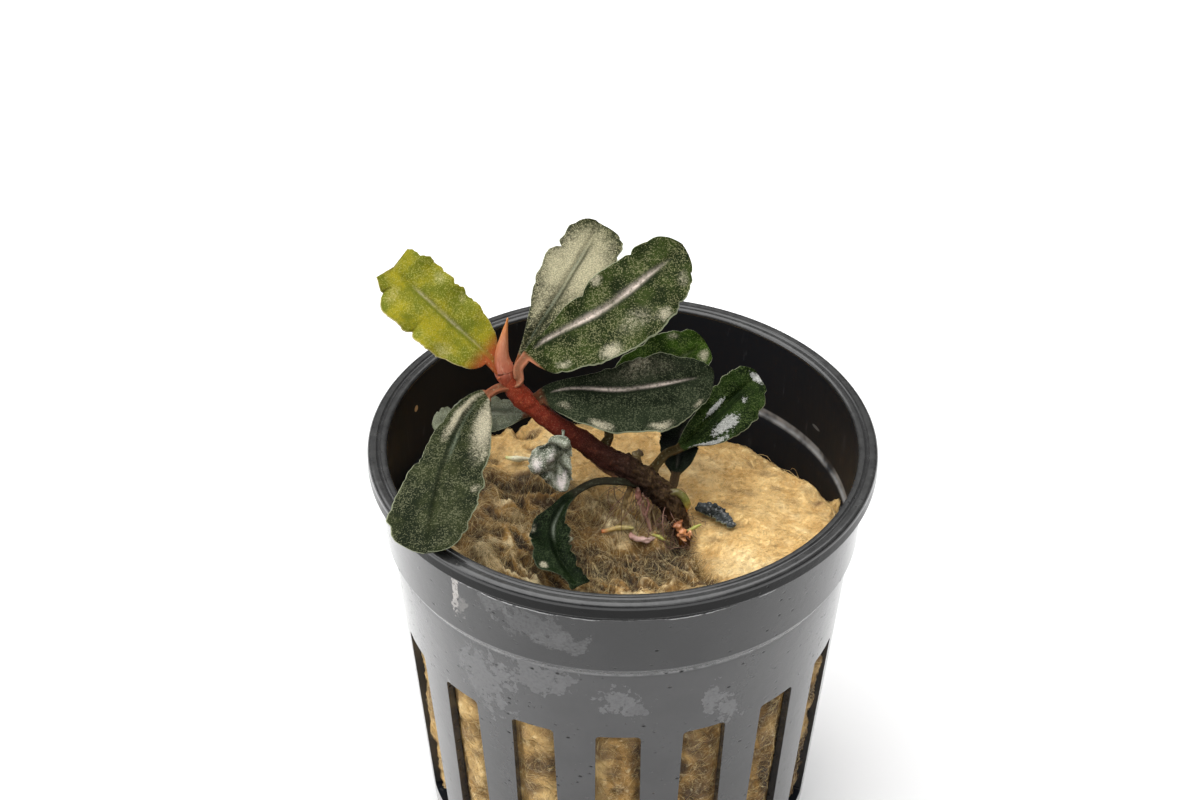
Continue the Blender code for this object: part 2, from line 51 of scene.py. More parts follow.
BODY = "root"
WELD = 1e-6
STEEP = 0.3

Array = np.ndarray
Piece = bpy.types.Object
Material = bpy.types.Material
Node = bpy.types.Node
Socket = bpy.types.NodeSocket
Point = tuple[float, ...]
Numbers = tuple[float, ...]
Colour = tuple[float, float, float]
Stops = tuple[tuple[float, Colour], ...]


class Slot(Enum):
    """The finishes that the part's record names."""

    POT = "pot_plastic"
    WOOL = "mineral_wool"
    STEM = "stem_skin"
    NEW_LEAF = "new_leaf"
    DARK_LEAF = "dark_leaf"
    PALE_LEAF = "pale_leaf"
    YELLOW_LEAF = "yellow_leaf"
    DEAD_LEAF = "dead_leaf"
    ROOT = "root"
    SHOOT = "shoot"


def ease(value: Array | float, low: float, high: float) -> Array | float:
    """Rises smoothly from 0 at low to 1 at high.

    Args:
        value: One number or an array of them.
        low: Where the rise starts.
        high: Where the rise ends.

    Returns:
        Numbers from 0 to 1, in the form of value.
    """
    part = np.clip((value - low) / (high - low), 0.0, 1.0)
    return part * part * (3 - 2 * part)


def hump(value: Array | float, middle: float, spread: Array | float) -> Array | float:
    """A soft bump of height 1 at the middle, which is nearly gone two spreads away."""
    return np.exp(-(((value - middle) / spread) ** 2))


def unit(vectors: Array) -> Array:
    """The vectors along the last axis, each made one long."""
    return vectors / np.maximum(np.linalg.norm(vectors, axis=-1, keepdims=True), 1e-9)


def between(values: Numbers, places: Array) -> Array:
    """A smooth curve through numbers that stand one apart.

    Args:
        values: The numbers that the curve passes through.
        places: Where to read it, counted from 0 at the first number.

    Returns:
        The curve's height at each place.
    """
    line = np.asarray(values, float)
    last = len(line) - 1
    index = np.clip(places.astype(int), 0, last - 1)
    part = places - index
    here = line[index]
    there = line[index + 1]
    before = line[np.maximum(index - 1, 0)]
    after = line[np.minimum(index + 2, last)]
    bend = part * part * (3 - 2 * part)
    leave = (there - before) / 2 * part * (1 - part) ** 2
    arrive = (after - here) / 2 * part * part * (1 - part)
    return here + (there - here) * bend + leave - arrive


@dataclass(frozen=True)
class Route:
    """A smooth curve through points in mm. A place on it counts the points from 0."""

    points: tuple[Point, ...]

    @property
    def last(self) -> int:
        """The place of the last point."""
        return len(self.points) - 1

    def headings(self) -> Array:
        """The curve's direction at each point, weighted towards the shorter side."""
        spots = np.asarray(self.points, float)
        steps = spots[1:] - spots[:-1]
        lengths = np.linalg.norm(steps, axis=1)[:, None]
        ways = steps / lengths
        inner = (ways[:-1] * lengths[1:] + ways[1:] * lengths[:-1]) / (lengths[1:] + lengths[:-1])
        return np.vstack([ways[:1], inner, ways[-1:]])

    def at(self, places: Array) -> Array:
        """The curve's points at an array of places, with x, y and z along a new last axis."""
        spots = np.asarray(self.points, float)
        ways = self.headings()
        index = np.clip(np.asarray(places).astype(int), 0, self.last - 1)
        part = (places - index)[..., None]
        here = spots[index]
        there = spots[index + 1]
        span = np.linalg.norm(there - here, axis=-1, keepdims=True)
        bend = part * part * (3 - 2 * part)
        leave = ways[index] * span * part * (1 - part) ** 2
        arrive = ways[index + 1] * span * part * part * (1 - part)
        return here + (there - here) * bend + leave - arrive

    def axes(self, places: Array, reach: float = 0.03) -> Array:
        """The curve's unit direction at each place."""
        middle = np.clip(places, reach, self.last - reach)
        return unit(self.at(middle + reach) - self.at(middle - reach))

    def nearest(self, point: Array, samples: int = 400) -> Array:
        """The curve's point that is nearest to a point."""
        line = self.at(np.linspace(0.0, self.last, samples))
        return line[np.argmin(np.linalg.norm(line - point, axis=1))]


class Ripples:
    """Smooth noise over a plane or a space, made of plane waves of about one length."""

    def __init__(self, seed: int, length: float, waves: int = 14, axes: int = 3) -> None:
        """Draws the waves.

        Args:
            seed: Fixes the draw.
            length: The waves' mean length in mm.
            waves: How many are added.
            axes: 2 for a plane, 3 for a space.
        """
        draw = np.random.default_rng(seed)
        ways = unit(draw.normal(size=(waves, axes)))
        self.turns = ways * (math.tau / length) * draw.uniform(0.6, 1.5, (waves, 1))
        self.starts = draw.uniform(0, math.tau, waves)
        self.scale = math.sqrt(2.0 / waves)

    def at(self, points: Array) -> Array:
        """The noise at points, mostly between -1.5 and 1.5."""
        phase = points @ self.turns.T + self.starts
        return np.sin(phase).sum(axis=-1) * self.scale


def clear_selection() -> None:
    """Leaves edit mode, with nothing selected."""
    if bpy.context.object and bpy.context.object.mode != "OBJECT":
        bpy.ops.object.mode_set(mode="OBJECT")
    bpy.ops.object.select_all(action="DESELECT")


def make_active(piece: Piece) -> None:
    """Selects one object alone and makes it the active one."""
    clear_selection()
    piece.select_set(True)
    bpy.context.view_layer.objects.active = piece


def rolled_skin(name: str, rings: Array, values: dict[str, Array]) -> Piece:
    """Rolls a grid primitive up into a closed skin through rings of points.

    Args:
        name: The piece's name.
        rings: Points in mm, of shape (rings, points round a ring, 3). Where the first or
            last ring stands on one point, the skin closes there.
        values: For each attribute, one number for every point, of shape (rings, points).

    Returns:
        The piece, smooth shaded, with its seam merged and its faces outward.
    """
    count, around = rings.shape[:2]
    clear_selection()
    bpy.ops.mesh.primitive_grid_add(x_subdivisions=around, y_subdivisions=count - 1, size=1.0)
    skin = bpy.context.object
    skin.name = name
    mesh = skin.data
    flat = np.empty(len(mesh.vertices) * 3, np.float32)
    mesh.vertices.foreach_get("co", flat)
    spots = np.rint((flat.reshape(-1, 3)[:, :2] + 0.5) * (around, count - 1)).astype(int)
    column = spots[:, 0] % around
    row = spots[:, 1]
    mesh.vertices.foreach_set("co", (rings[row, column] * MM).astype(np.float32).ravel())
    for label, numbers in values.items():
        attribute = mesh.attributes.new(label, "FLOAT", "POINT")
        attribute.data.foreach_set("value", numbers[row, column].astype(np.float32))
    mesh.update()
    bpy.ops.object.mode_set(mode="EDIT")
    bpy.ops.mesh.select_all(action="SELECT")
    bpy.ops.mesh.remove_doubles(threshold=WELD)
    bpy.ops.mesh.normals_make_consistent(inside=False)
    bpy.ops.object.mode_set(mode="OBJECT")
    bpy.ops.object.shade_smooth()
    return skin


def tube(
    name: str,
    route: Route,
    radii: Numbers,
    stations: int,
    sides: int,
    relief: Callable[[Array, Array], Array],
) -> Piece:
    """A tube along a route. Its attribute "share" runs along it, and "upper" round it.

    Args:
        name: The piece's name.
        route: The tube's middle line.
        radii: The radius at even steps along it.
        stations: How many rings stand along the route.
        sides: How many points a ring has.
        relief: Gives what is added to the radius, from the share of the route and the turn.

    Returns:
        The tube, closed to a point at both ends.
    """
    share = np.linspace(0.0, 1.0, stations)
    middle = route.at(share * route.last)
    axis = route.axes(share * route.last)
    across = np.cross(axis, (0.0, 0.0, 1.0))
    steep = np.linalg.norm(across, axis=1) < STEEP
    across[steep] = np.cross(axis[steep], (0.0, 1.0, 0.0))
    across = unit(across)
    upward = np.cross(across, axis)
    turn = math.tau * np.arange(sides) / sides
    radius = between(radii, share * (len(radii) - 1))[:, None] * np.ones(sides)
    radius = radius + relief(share[:, None], turn[None, :])
    ring = (
        middle[:, None]
        + across[:, None] * (np.cos(turn) * radius)[..., None]
        + upward[:, None] * (np.sin(turn) * radius)[..., None]
    )
    start = np.broadcast_to(middle[:1, None], (1, sides, 3))
    end = np.broadcast_to(middle[-1:, None], (1, sides, 3))
    rings = np.concatenate([start, ring, end])
    shares = np.broadcast_to(np.concatenate([[0.0], share, [1.0]])[:, None], rings.shape[:2])
    upper = np.broadcast_to(np.sin(turn), rings.shape[:2])
    return rolled_skin(name, rings, {"share": shares, "upper": upper})


def on_tube(length: float, radius: float, share: Array, turn: Array) -> Array:
    """Points on a straight tube in mm, at which noise is read so that it closes round it."""
    along = share * length + 0 * turn
    return np.stack([along, np.cos(turn) * radius + 0 * share, np.sin(turn) * radius + 0 * share], axis=-1)


def round_axis(reach: Array, turn: Array, z: Array) -> Array:
    """Points at a distance from the pot's axis, a turn round it and a height."""
    return np.stack([reach * np.cos(turn), reach * np.sin(turn), z], axis=-1)


def flat_ripples(seed: int, length: float, x: Array, y: Array) -> Array:
    """Smooth noise over a plane, whose waves are about a length in mm long."""
    return Ripples(seed, length, axes=2).at(np.stack([x, y], axis=-1))


def add_mounds(total: Array, x: Array, y: Array, mounds: tuple[Point, ...]) -> Array:
    """Adds soft mounds to numbers over a plane.

    Args:
        total: The numbers.
        x: Where they stand, in mm.
        y: Where they stand, in mm.
        mounds: Each mound's x and y, its reach and its height.

    Returns:
        The numbers with the mounds on them.
    """
    for mound_x, mound_y, reach, height in mounds:
        total = total + height * np.exp(-((x - mound_x) ** 2 + (y - mound_y) ** 2) / reach**2)
    return total


def hand_over(piece: Piece, slot: Slot, *nodes: str) -> None:
    """Fixes a finished piece to the body, in the place of its plain solids, and reports it."""
    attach(piece, BODY)
    if nodes:
        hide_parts(*nodes)
    LOG.info("%s: %d faces, for %s", piece.name, len(piece.data.polygons), ", ".join(nodes) or "no solid")


class Tree:
    """A shader or group node tree with short calls for the nodes that the finishes use."""

    def __init__(self, tree: bpy.types.NodeTree) -> None:
        """Takes the tree that the nodes go into."""
        self.tree = tree

    def node(self, kind: str, **settings: object) -> Node:
        """Adds one node and gives its settings their values."""
        made = self.tree.nodes.new(kind)
        for name, value in settings.items():
            setattr(made, name, value)
        return made

    def feed(self, socket: Socket, value: object) -> None:
        """Links an output to a socket, or sets the socket to a plain value."""
        if isinstance(value, Socket):
            self.tree.links.new(value, socket)
        elif isinstance(value, tuple) and len(value) == 3 and socket.type == "RGBA":
            socket.default_value = (*value, 1.0)
        else:
            socket.default_value = value

    def fill(self, node: Node, **values: object) -> None:
        """Feeds a node's inputs. An underscore in a value's name stands for a space."""
        for name, value in values.items():
            self.feed(node.inputs[name.replace("_", " ")], value)

    def worked(self, kind: str, operation: str, values: tuple[object, ...]) -> Node:
        """A node of maths, with its values fed in their order."""
        made = self.node(kind, operation=operation)
        for socket, value in zip(made.inputs, values):
            self.feed(socket, value)
        return made

    def maths(self, operation: str, *values: object) -> Socket:
        """One Math node."""
        return self.worked("ShaderNodeMath", operation, values).outputs[0]

    def vectors(self, operation: str, *values: object) -> Socket:
        """One Vector Math node. Its answer is a number for LENGTH, or else a vector."""
        made = self.worked("ShaderNodeVectorMath", operation, values)
        return made.outputs["Value" if operation == "LENGTH" else "Vector"]

    def times(self, first: object, *others: object) -> Socket:
        """The product of two values or more."""
        for other in others:
            first = self.maths("MULTIPLY", first, other)
        return first

    def plus(self, first: object, *others: object) -> Socket:
        """The sum of two values or more."""
        for other in others:
            first = self.maths("ADD", first, other)
        return first

    def step(self, value: object, low: float, high: float, to_low: float = 0.0,
             to_high: float = 1.0) -> Socket:
        """A smooth step: to_low where value is under low, to_high where it is over high."""
        made = self.node("ShaderNodeMapRange", interpolation_type="SMOOTHSTEP")
        self.fill(made, Value=value, From_Min=low, From_Max=high, To_Min=to_low, To_Max=to_high)
        return made.outputs["Result"]

    def mix(self, share: object, first: object, second: object) -> Socket:
        """Mixes two colours."""
        made = self.node("ShaderNodeMix", data_type="RGBA")
        self.feed(made.inputs["Factor"], share)
        self.feed(made.inputs[6], first)
        self.feed(made.inputs[7], second)
        return made.outputs[2]

    def over(self, colour: object, *layers: tuple[object, object]) -> Socket:
        """Lays colours over a first one.

        Args:
            colour: The first colour.
            layers: For each layer its mask and its colour, the lowest one first.

        Returns:
            The colour that shows.
        """
        for mask, layer in layers:
            colour = self.mix(mask, colour, layer)
        return colour

    def attribute(self, name: str) -> Socket:
        """The number that a piece's mesh holds under a name."""
        return self.node("ShaderNodeAttribute", attribute_name=name).outputs["Fac"]

    def place(self, scale: Point = (1.0, 1.0, 1.0)) -> Socket:
        """Object coordinates in mm, stretched by a scale on each axis."""
        coordinates = self.node("ShaderNodeTexCoord")
        made = self.node("ShaderNodeMapping")
        self.fill(made, Scale=tuple(number / MM for number in scale), Vector=coordinates.outputs["Object"])
        return made.outputs[0]

    def split(self, vector: object) -> bpy.types.bpy_prop_collection:
        """A vector's numbers, as sockets under the names X, Y and Z."""
        made = self.node("ShaderNodeSeparateXYZ")
        self.feed(made.inputs[0], vector)
        return made.outputs

    def ramp(self, value: object, stops: Stops) -> Socket:
        """A colour that runs through stops, each a value and its colour."""
        made = self.node("ShaderNodeValToRGB")
        self.fill(made, Fac=value)
        marks = made.color_ramp.elements
        while len(marks) < len(stops):
            marks.new(0.5)
        for mark, (place, colour) in zip(marks, stops):
            mark.position = place
            mark.color = (*colour, 1.0)
        return made.outputs["Color"]

    def noise(self, place: object, length: float, detail: float = 3.0,
              roughness: float = 0.55) -> Socket:
        """Noise between 0 and 1 whose features are about a length in mm wide."""
        made = self.node("ShaderNodeTexNoise")
        self.fill(made, Vector=place, Scale=1.0 / length, Detail=detail, Roughness=roughness)
        return made.outputs["Fac"]

    def cells(self, place: object) -> tuple[Socket, Socket]:
        """Scattered cells about 1 wide: the distance from their middles, and a number of each
        cell's own."""
        made = self.node("ShaderNodeTexVoronoi")
        self.fill(made, Vector=place, Scale=1.0, Randomness=0.9)
        split = self.node("ShaderNodeSeparateColor")
        self.feed(split.inputs[0], made.outputs["Color"])
        return made.outputs["Distance"], split.outputs["Red"]

    def group(self, tree: bpy.types.NodeTree, **values: object) -> Node:
        """Places a node group and feeds its inputs."""
        made = self.node("ShaderNodeGroup", node_tree=tree)
        self.fill(made, **values)
        return made


def new_group(name: str, inputs: dict[str, tuple[str, object]],
              outputs: dict[str, str]) -> tuple[Tree, Node, Node]:
    """Starts a shader node group.

    Args:
        name: The group's name.
        inputs: For each input, its socket kind and its first value.
        outputs: For each output, its socket kind.

    Returns:
        The group's tree, its input node and its output node.
    """
    group = bpy.data.node_groups.new(name, "ShaderNodeTree")
    for label, (kind, value) in inputs.items():
        socket = group.interface.new_socket(label, in_out="INPUT", socket_type=kind)
        socket.default_value = value
    for label, kind in outputs.items():
        group.interface.new_socket(label, in_out="OUTPUT", socket_type=kind)
    tree = Tree(group)
    return tree, tree.node("NodeGroupInput"), tree.node("NodeGroupOutput")


NUMBER = "NodeSocketFloat"
VECTOR = "NodeSocketVector"


class Effects:
    """The surface effects that several finishes share, each a node group that is built once."""

    def __init__(self) -> None:
        """Builds every group."""
        self.specks = self.build_specks()
        self.patch = self.build_patch()

    def build_specks(self) -> bpy.types.NodeTree:
        """Fine scattered dots, each with a size and a strength of its own."""
        tree, given, out = new_group(
            "fine_specks",
            {"Place": (VECTOR, (0, 0, 0)), "Size": (NUMBER, 0.15), "Cover": (NUMBER, 0.5)},
            {"Mask": NUMBER, "Height": NUMBER},
        )
        distance, own = tree.cells(tree.vectors("DIVIDE", given.outputs["Place"], given.outputs["Size"]))
        reach = tree.times(given.outputs["Cover"], tree.step(own, 0.0, 1.0, 0.45, 0.95))
        dots = tree.maths("SUBTRACT", reach, distance)
        mask = tree.times(tree.step(dots, -0.05, 0.10), tree.step(own, 0.0, 0.9, 0.35, 1.0))
        tree.fill(out, Mask=mask, Height=tree.step(distance, 0.75, 0.05))
        return tree.tree

    def build_patch(self) -> bpy.types.NodeTree:
        """One ragged patch round a point, such as a smear or a splash of scale."""
        tree, given, out = new_group(
            "ragged_patch",
            {"Place": (VECTOR, (0, 0, 0)), "Middle": (VECTOR, (0, 0, 0)),
             "Reach": (VECTOR, (1, 1, 1)), "Noise": (NUMBER, 0.5), "Ragged": (NUMBER, 0.8)},
            {"Mask": NUMBER},
        )
        away = tree.vectors("SUBTRACT", given.outputs["Place"], given.outputs["Middle"])
        length = tree.vectors("LENGTH", tree.vectors("DIVIDE", away, given.outputs["Reach"]))
        rough = tree.times(tree.maths("SUBTRACT", given.outputs["Noise"], 0.5), given.outputs["Ragged"])
        tree.fill(out, Mask=tree.step(tree.plus(length, rough), 1.0, 0.85))
        return tree.tree


def new_finish(name: str) -> tuple[Material, Tree, Node]:
    """Starts a material, and returns it with its tree and its Principled shader."""
    material = bpy.data.materials.new(name)
    material.use_nodes = True
    return material, Tree(material.node_tree), material.node_tree.nodes["Principled BSDF"]


def bump(tree: Tree, shader: Node, height: object, depth: float, strength: float) -> None:
    """Feeds a height in mm into the shader's normal.

    Args:
        tree: The material's tree.
        shader: The material's Principled shader.
        height: The relief, mostly between 0 and 1.
        depth: What a height of 1 stands for, in mm.
        strength: How much of the relief shows, from 0 to 1.
    """
    made = tree.node("ShaderNodeBump")
    tree.fill(made, Strength=strength, Distance=depth * MM, Height=height)
    tree.fill(shader, Normal=made.outputs["Normal"])


@dataclass(frozen=True)
class LeafFinish:
    """The skin of one leaf: its ground colours, and the pale specks, patches, rib line and margin line
    painted on it as glints, highlights and rim light.
    """

    name: str
    ground: Colour
    deep: Colour
    speck: Colour
    patch: Colour
    rib: Colour
    margin: Colour
    under: Colour
    stalk: Colour
    stalk_reach: float = 0.035
    speck_cover: float = 0.62
    speck_share: float = 0.75
    speck_size: float = 0.14
    stalk_shade: float = 0.35
    gloss: float = 0.07
    roughness: float = 0.40
    patch_roughness: float = 0.26
    patch_blur: float = 0.45

    PATCH_EDGE = 0.42

    def build(self, effects: Effects) -> Material:
        """Makes the material.

        Args:
            effects: The shared node groups.

        Returns:
            The leaf's material.
        """
        material, tree, shader = new_finish(self.name)
        place = tree.place()
        clouds = tree.noise(place, 2.6, 3.0)
        fine = tree.noise(place, 0.30, 3.0)
        ground = tree.over(self.deep, (tree.step(clouds, 0.36, 0.66), self.ground),
                           (tree.step(fine, 0.55, 0.30, 0.0, 0.45), self.deep))

        # Painted glints: pale specks that stand in for the glitter of the light on the skin's fine bumps.
        cover = tree.times(tree.step(tree.noise(place, 1.8, 3.0), 0.32, 0.62, 0.62, 1.10), self.speck_cover)
        specks = tree.group(effects.specks, Place=place, Size=self.speck_size, Cover=cover)
        glare = tree.attribute("glare")
        dots = tree.times(specks.outputs["Mask"], tree.step(glare, 0.0, 0.8, self.speck_share, 1.0))

        # Painted highlights: pale patches with grainy edges that stand in for the glare of the light on the
        # glossy skin.
        grain = tree.plus(tree.times(tree.maths("SUBTRACT", fine, 0.5), 1.1),
                          tree.times(specks.outputs["Mask"], 0.22))
        edge = tree.plus(glare, tree.times(grain, tree.step(glare, 0.0, 0.25)))
        glare_patch = tree.times(
            tree.step(edge, self.PATCH_EDGE - self.patch_blur, self.PATCH_EDGE + self.patch_blur),
            tree.step(glare, 0.04, 0.16),
        )
        glitter = tree.step(tree.noise(place, 0.12, 2.0), 0.44, 0.60, 0.45, 0.0)

        beside = tree.step(tree.attribute("rib"), 0.42, 0.12, 0.0, self.stalk_shade)
        stalk = tree.over(self.stalk, (beside, self.deep),
                          (tree.step(fine, 0.55, 0.75, 0.0, 0.4), self.margin))
        # The pale line along the midrib is a painted highlight.
        lit = tree.times(tree.attribute("rib_highlight"), tree.step(fine, 0.30, 0.58, 0.35, 1.0))
        colour = tree.over(
            ground,
            (dots, self.speck),
            (glare_patch, tree.mix(glitter, self.patch, ground)),
            (tree.step(tree.attribute("share"), self.stalk_reach, 0.005), stalk),
            # Painted shade in the groove beside the midrib.
            (tree.attribute("groove"), self.deep),
            (lit, self.rib),
            # The pale line along the margin is a painted rim light.
            (tree.attribute("edge"), self.margin),
            (tree.attribute("under"), self.under),
        )

        rough = tree.node("ShaderNodeMix", data_type="FLOAT")
        tree.feed(rough.inputs[0], glare_patch)
        tree.feed(rough.inputs[2], tree.step(fine, 0.2, 0.8, self.roughness - 0.04, self.roughness + 0.10))
        tree.feed(rough.inputs[3], self.patch_roughness)
        tree.fill(shader, Base_Color=colour, Roughness=rough.outputs[0], Specular_IOR_Level=self.gloss)
        height = tree.plus(tree.times(specks.outputs["Height"], 0.8), tree.times(fine, 0.7))
        bump(tree, shader, height, 0.07, 0.8)
        return material


@dataclass(frozen=True)
class Patch:
    """A painted highlight on a blade, a pale patch for the glare of the light: its middle and reach, as
    shares of the blade, and its strength.

    Along runs from 0 at the blade's base to 1 at its tip, and across from -1 at the left
    margin to 1 at the right one.
    """

    along: float
    across: float
    long: float
    wide: float
    strength: float = 1.0

    def mask(self, share: Array, across: Array) -> Array:
        """How strong the patch is at points of the blade."""
        return self.strength * hump(share, self.along, self.long) * hump(across, self.across, self.wide)


@dataclass(frozen=True)
class Leaf:
    """One leaf with its stalk: the route of its midrib, its outline, its relief and its skin."""

    name: str
    node: str
    slot: Slot
    finish: LeafFinish
    route: Route
    blade_from: int
    face: Point
    left: Numbers
    right: Numbers
    face_tip: Point | None = None
    notches_left: tuple[tuple[float, float], ...] = ()
    notches_right: tuple[tuple[float, float], ...] = ()
    base_round: float = 0.0
    tip_power: float = 0.6
    groove_side: float = 1.0
    ruffle: float = 0.3
    waves: float = 3.5
    fold_deg: float = 7.0
    stalk_half_width: float = 0.5
    stalk_top: float = 0.34
    stalk_under: float = 0.70
    stalk_channel: float = 0.26
    torn_tip: tuple[float, float] | None = None
    tear_depth: float = 0.0
    patches: tuple[Patch, ...] = ()
    rib_depth: float = 0.2
    rib_highlight: float = 0.8
    rib_wide: float = 0.15
    rib_from: float = 0.05
    rib_to: float = 0.92
    wrinkle: float = 0.02
    crumple: float = 0.0
    crumple_length: float = 1.3
    seed: int = 1
    stations: int = 130
    half_points: int = 26

    THICKNESS = 0.30
    TIP_HALF_WIDTH = 0.3
    STALK_STATIONS = 16
    COLUMN_CROWDING = 0.09
    EDGE_POWER = 10
    NOTCH_REACH = 0.024
    RAGGED = ((7, 2.3, 0.06), (17, 0.8, 0.022))
    RIB_REACH = 0.26
    SHOULDER_AWAY = 0.62
    SHOULDER_REACH = 0.3
    VEINS = 26
    VEIN_SLANT = 4.2
    VEIN_HEIGHT = 0.010

    def columns(self) -> Array:
        """The places across the blade, from -1 to 1, close together at the rib and the margins."""
        steps = np.linspace(0.0, 1.0, self.half_points + 1)
        half = steps - self.COLUMN_CROWDING * np.sin(math.tau * steps)
        return np.concatenate([-half[::-1], half[1:]])

    def half_width(self, widths: Numbers, torn: float | None, share: Array) -> Array:
        """Half the blade's width on one side, from its base at share 0 to its tip at 1."""
        steps = len(widths) + 1
        end = torn if torn is not None else self.TIP_HALF_WIDTH
        line = between((self.stalk_half_width, *widths, end), np.clip(share, 0, 1) * steps)
        first = np.clip(1 - share * steps, 0.0, 1.0)
        swollen = self.stalk_half_width + (widths[0] - self.stalk_half_width) * np.sqrt(1 - first**2)
        line = line + self.base_round * np.where(share < 1 / steps, np.maximum(swollen - line, 0.0), 0.0)
        if torn is not None:
            return line
        last = np.clip((share - 1 + 1 / steps) * steps, 0.0, 1.0)
        tip = end + (widths[-1] - end) * (1 - last**2) ** self.tip_power
        return np.where(share > 1 - 1 / steps, tip, line)

    def dips(self, notches: tuple[tuple[float, float], ...], share: Array) -> Array:
        """How far a margin's notches cut into it, in mm.

        Args:
            notches: The share of the blade at each notch, and its depth in mm.
            share: Where to read the margin.

        Returns:
            The depth at each share.
        """
        total = np.zeros_like(share)
        for mark, depth in notches:
            total = total + depth * np.exp(-np.abs(share - mark) / self.NOTCH_REACH)
        return total

    def section(self, place: Array, share: Array, across: Array,
                upper: Array) -> tuple[Array, dict[str, Array]]:
        """Points of the leaf's skin.

        Args:
            place: The place of each point on the route.
            share: How far along the blade it is, 0 on the stalk.
            across: How far across it is, from -1 to 1.
            upper: 1 on the upper skin and -1 on the lower one.

        Returns:
            The points, and the numbers that the finish reads.
        """
        axis = self.route.axes(place)
        tip = np.asarray(self.face_tip or self.face, float)
        face = np.asarray(self.face, float) * (1 - share[..., None]) + tip * share[..., None]
        side = unit(np.cross(axis, face))
        upward = np.cross(side, axis)
        width, dip = self.margins(share, across > 0)
        away = np.abs(across) * width
        blade = ease(share, 0.0, 0.12)
        upper_skin = upper > 0
        spot = self.route.at(place) + side * (across * width)[..., None]
        lift = away * math.tan(math.radians(self.fold_deg)) * blade
        lift = self.ruffled(lift, share, across, dip)
        lift = lift + blade * self.wrinkles(spot)
        vein = np.sin((share * self.VEINS - np.abs(across) * self.VEIN_SLANT) * math.tau / 2)
        lift = lift + blade * self.VEIN_HEIGHT * vein * ease(away, 0.5, 1.2)
        rib = hump(away, 0.0, self.RIB_REACH) * blade * (1 - ease(share, 0.85, 1.0))
        shoulder = hump(away, self.SHOULDER_AWAY, self.SHOULDER_REACH) * blade * (1 - ease(share, 0.8, 1.0))
        lift = lift + np.where(upper_skin, -self.rib_depth * rib + 0.35 * self.rib_depth * shoulder,
                               -0.9 * self.rib_depth * rib)
        half = self.half_thickness(across, blade, upper_skin)
        lift = lift + np.where(upper_skin, half, -half)
        on_top = np.where(upper_skin, 1.0, 0.0)
        numbers = {
            "share": share,
            "rib": away,
            "rib_highlight": self.rib_highlight_mask(share, away) * on_top,
            "groove": self.groove(share, across * width) * on_top,
            # Where the painted rim light along the margin shows.
            "edge": ease(np.abs(across), 0.965, 0.99) * ease(share, 0.03, 0.1),
            "under": (1 - on_top) * ease(1 - np.abs(across), 0.0, 0.03) * blade,
            "glare": self.glare_patches(share, across) * on_top,
        }
        return spot + upward * lift[..., None], numbers

    def margins(self, share: Array, rightward: Array) -> tuple[Array, Array]:
        """Half the blade's width at its ragged margin, and how deep the notches cut, in mm.

        Args:
            share: Where to read the margin.
            rightward: True on the right half of the blade.

        Returns:
            The half width and the notches' depth.
        """
        torn_left, torn_right = self.torn_tip or (None, None)
        grown = ease(share, 0.12, 0.4)
        dip_left = self.dips(self.notches_left, share)
        dip_right = self.dips(self.notches_right, share)
        along = (share * 16 + 60 * rightward)[..., None]
        ragged = 0.0
        for offset, length, depth in self.RAGGED:
            ragged = ragged + Ripples(self.seed + offset, length, axes=1).at(along) * depth
        left = self.half_width(self.left, torn_left, share) - dip_left - ragged * grown
        right = self.half_width(self.right, torn_right, share) - dip_right - ragged * grown
        return np.where(rightward, right, left), np.where(rightward, dip_right, dip_left)

    def ruffled(self, lift: Array, share: Array, across: Array, dip: Array) -> Array:
        """Adds the waves of the margins, and the curl of the lobes between notches, to a lift."""
        grown = ease(share, 0.12, 0.4)
        wave = np.sin(math.tau * self.waves * share + across * 1.3) * self.ruffle * grown
        lift = lift + wave * across**2
        return lift + (0.3 - dip * 2.0) * self.ruffle * grown * np.abs(across) ** 5

    def wrinkles(self, spot: Array) -> Array:
        """The blade's soft bends, fine wrinkles and crumpled folds, in mm."""
        soft = Ripples(self.seed, 6.0).at(spot) * 0.07 + Ripples(self.seed + 1, 1.7).at(spot) * self.wrinkle
        crumple = Ripples(self.seed + 2, self.crumple_length).at(spot)
        return soft + self.crumple * (np.abs(crumple) - 0.5)

    def half_thickness(self, across: Array, blade: Array, upper_skin: Array) -> Array:
        """How far the skin stands from the leaf's middle sheet, on the blade and the stalk."""
        round_edge = np.sqrt(np.clip(1 - across**2, 0, 1))
        blade_edge = np.sqrt(np.clip(1 - np.abs(across) ** self.EDGE_POWER, 0, 1))
        channel = self.stalk_channel * (1 - across**2) ** 2
        stalk = np.where(upper_skin, self.stalk_top * round_edge - channel, self.stalk_under * round_edge)
        return self.THICKNESS / 2 * blade_edge * blade + stalk * (1 - blade)

    def rib_highlight_mask(self, share: Array, away: Array) -> Array:
        """How much of the pale line along the midrib shows: a painted highlight."""
        reach = ease(share, self.rib_from, self.rib_from + 0.12)
        reach = reach * (1 - ease(share, self.rib_to - 0.15, self.rib_to))
        fade = 0.75 + 0.25 * np.sin(share * 21.0)
        wide = self.rib_wide * (0.5 + 0.9 * np.sin(math.pi * share))
        return self.rib_highlight * reach * fade * hump(away, 0.0, wide)

    def groove(self, share: Array, side: Array) -> Array:
        """How much the painted shade beside the midrib shows."""
        reach = ease(share, 0.04, 0.2) * (1 - ease(share, 0.75, 0.95))
        return reach * (0.8 * hump(side, self.groove_side * (self.rib_wide + 0.26), 0.24))

    def glare_patches(self, share: Array, across: Array) -> Array:
        """How strongly the blade's pale patches, which are painted highlights, show."""
        total = np.zeros_like(share)
        for patch in self.patches:
            total = total + patch.mask(share, across)
        return np.clip(total, 0.0, 1.0)

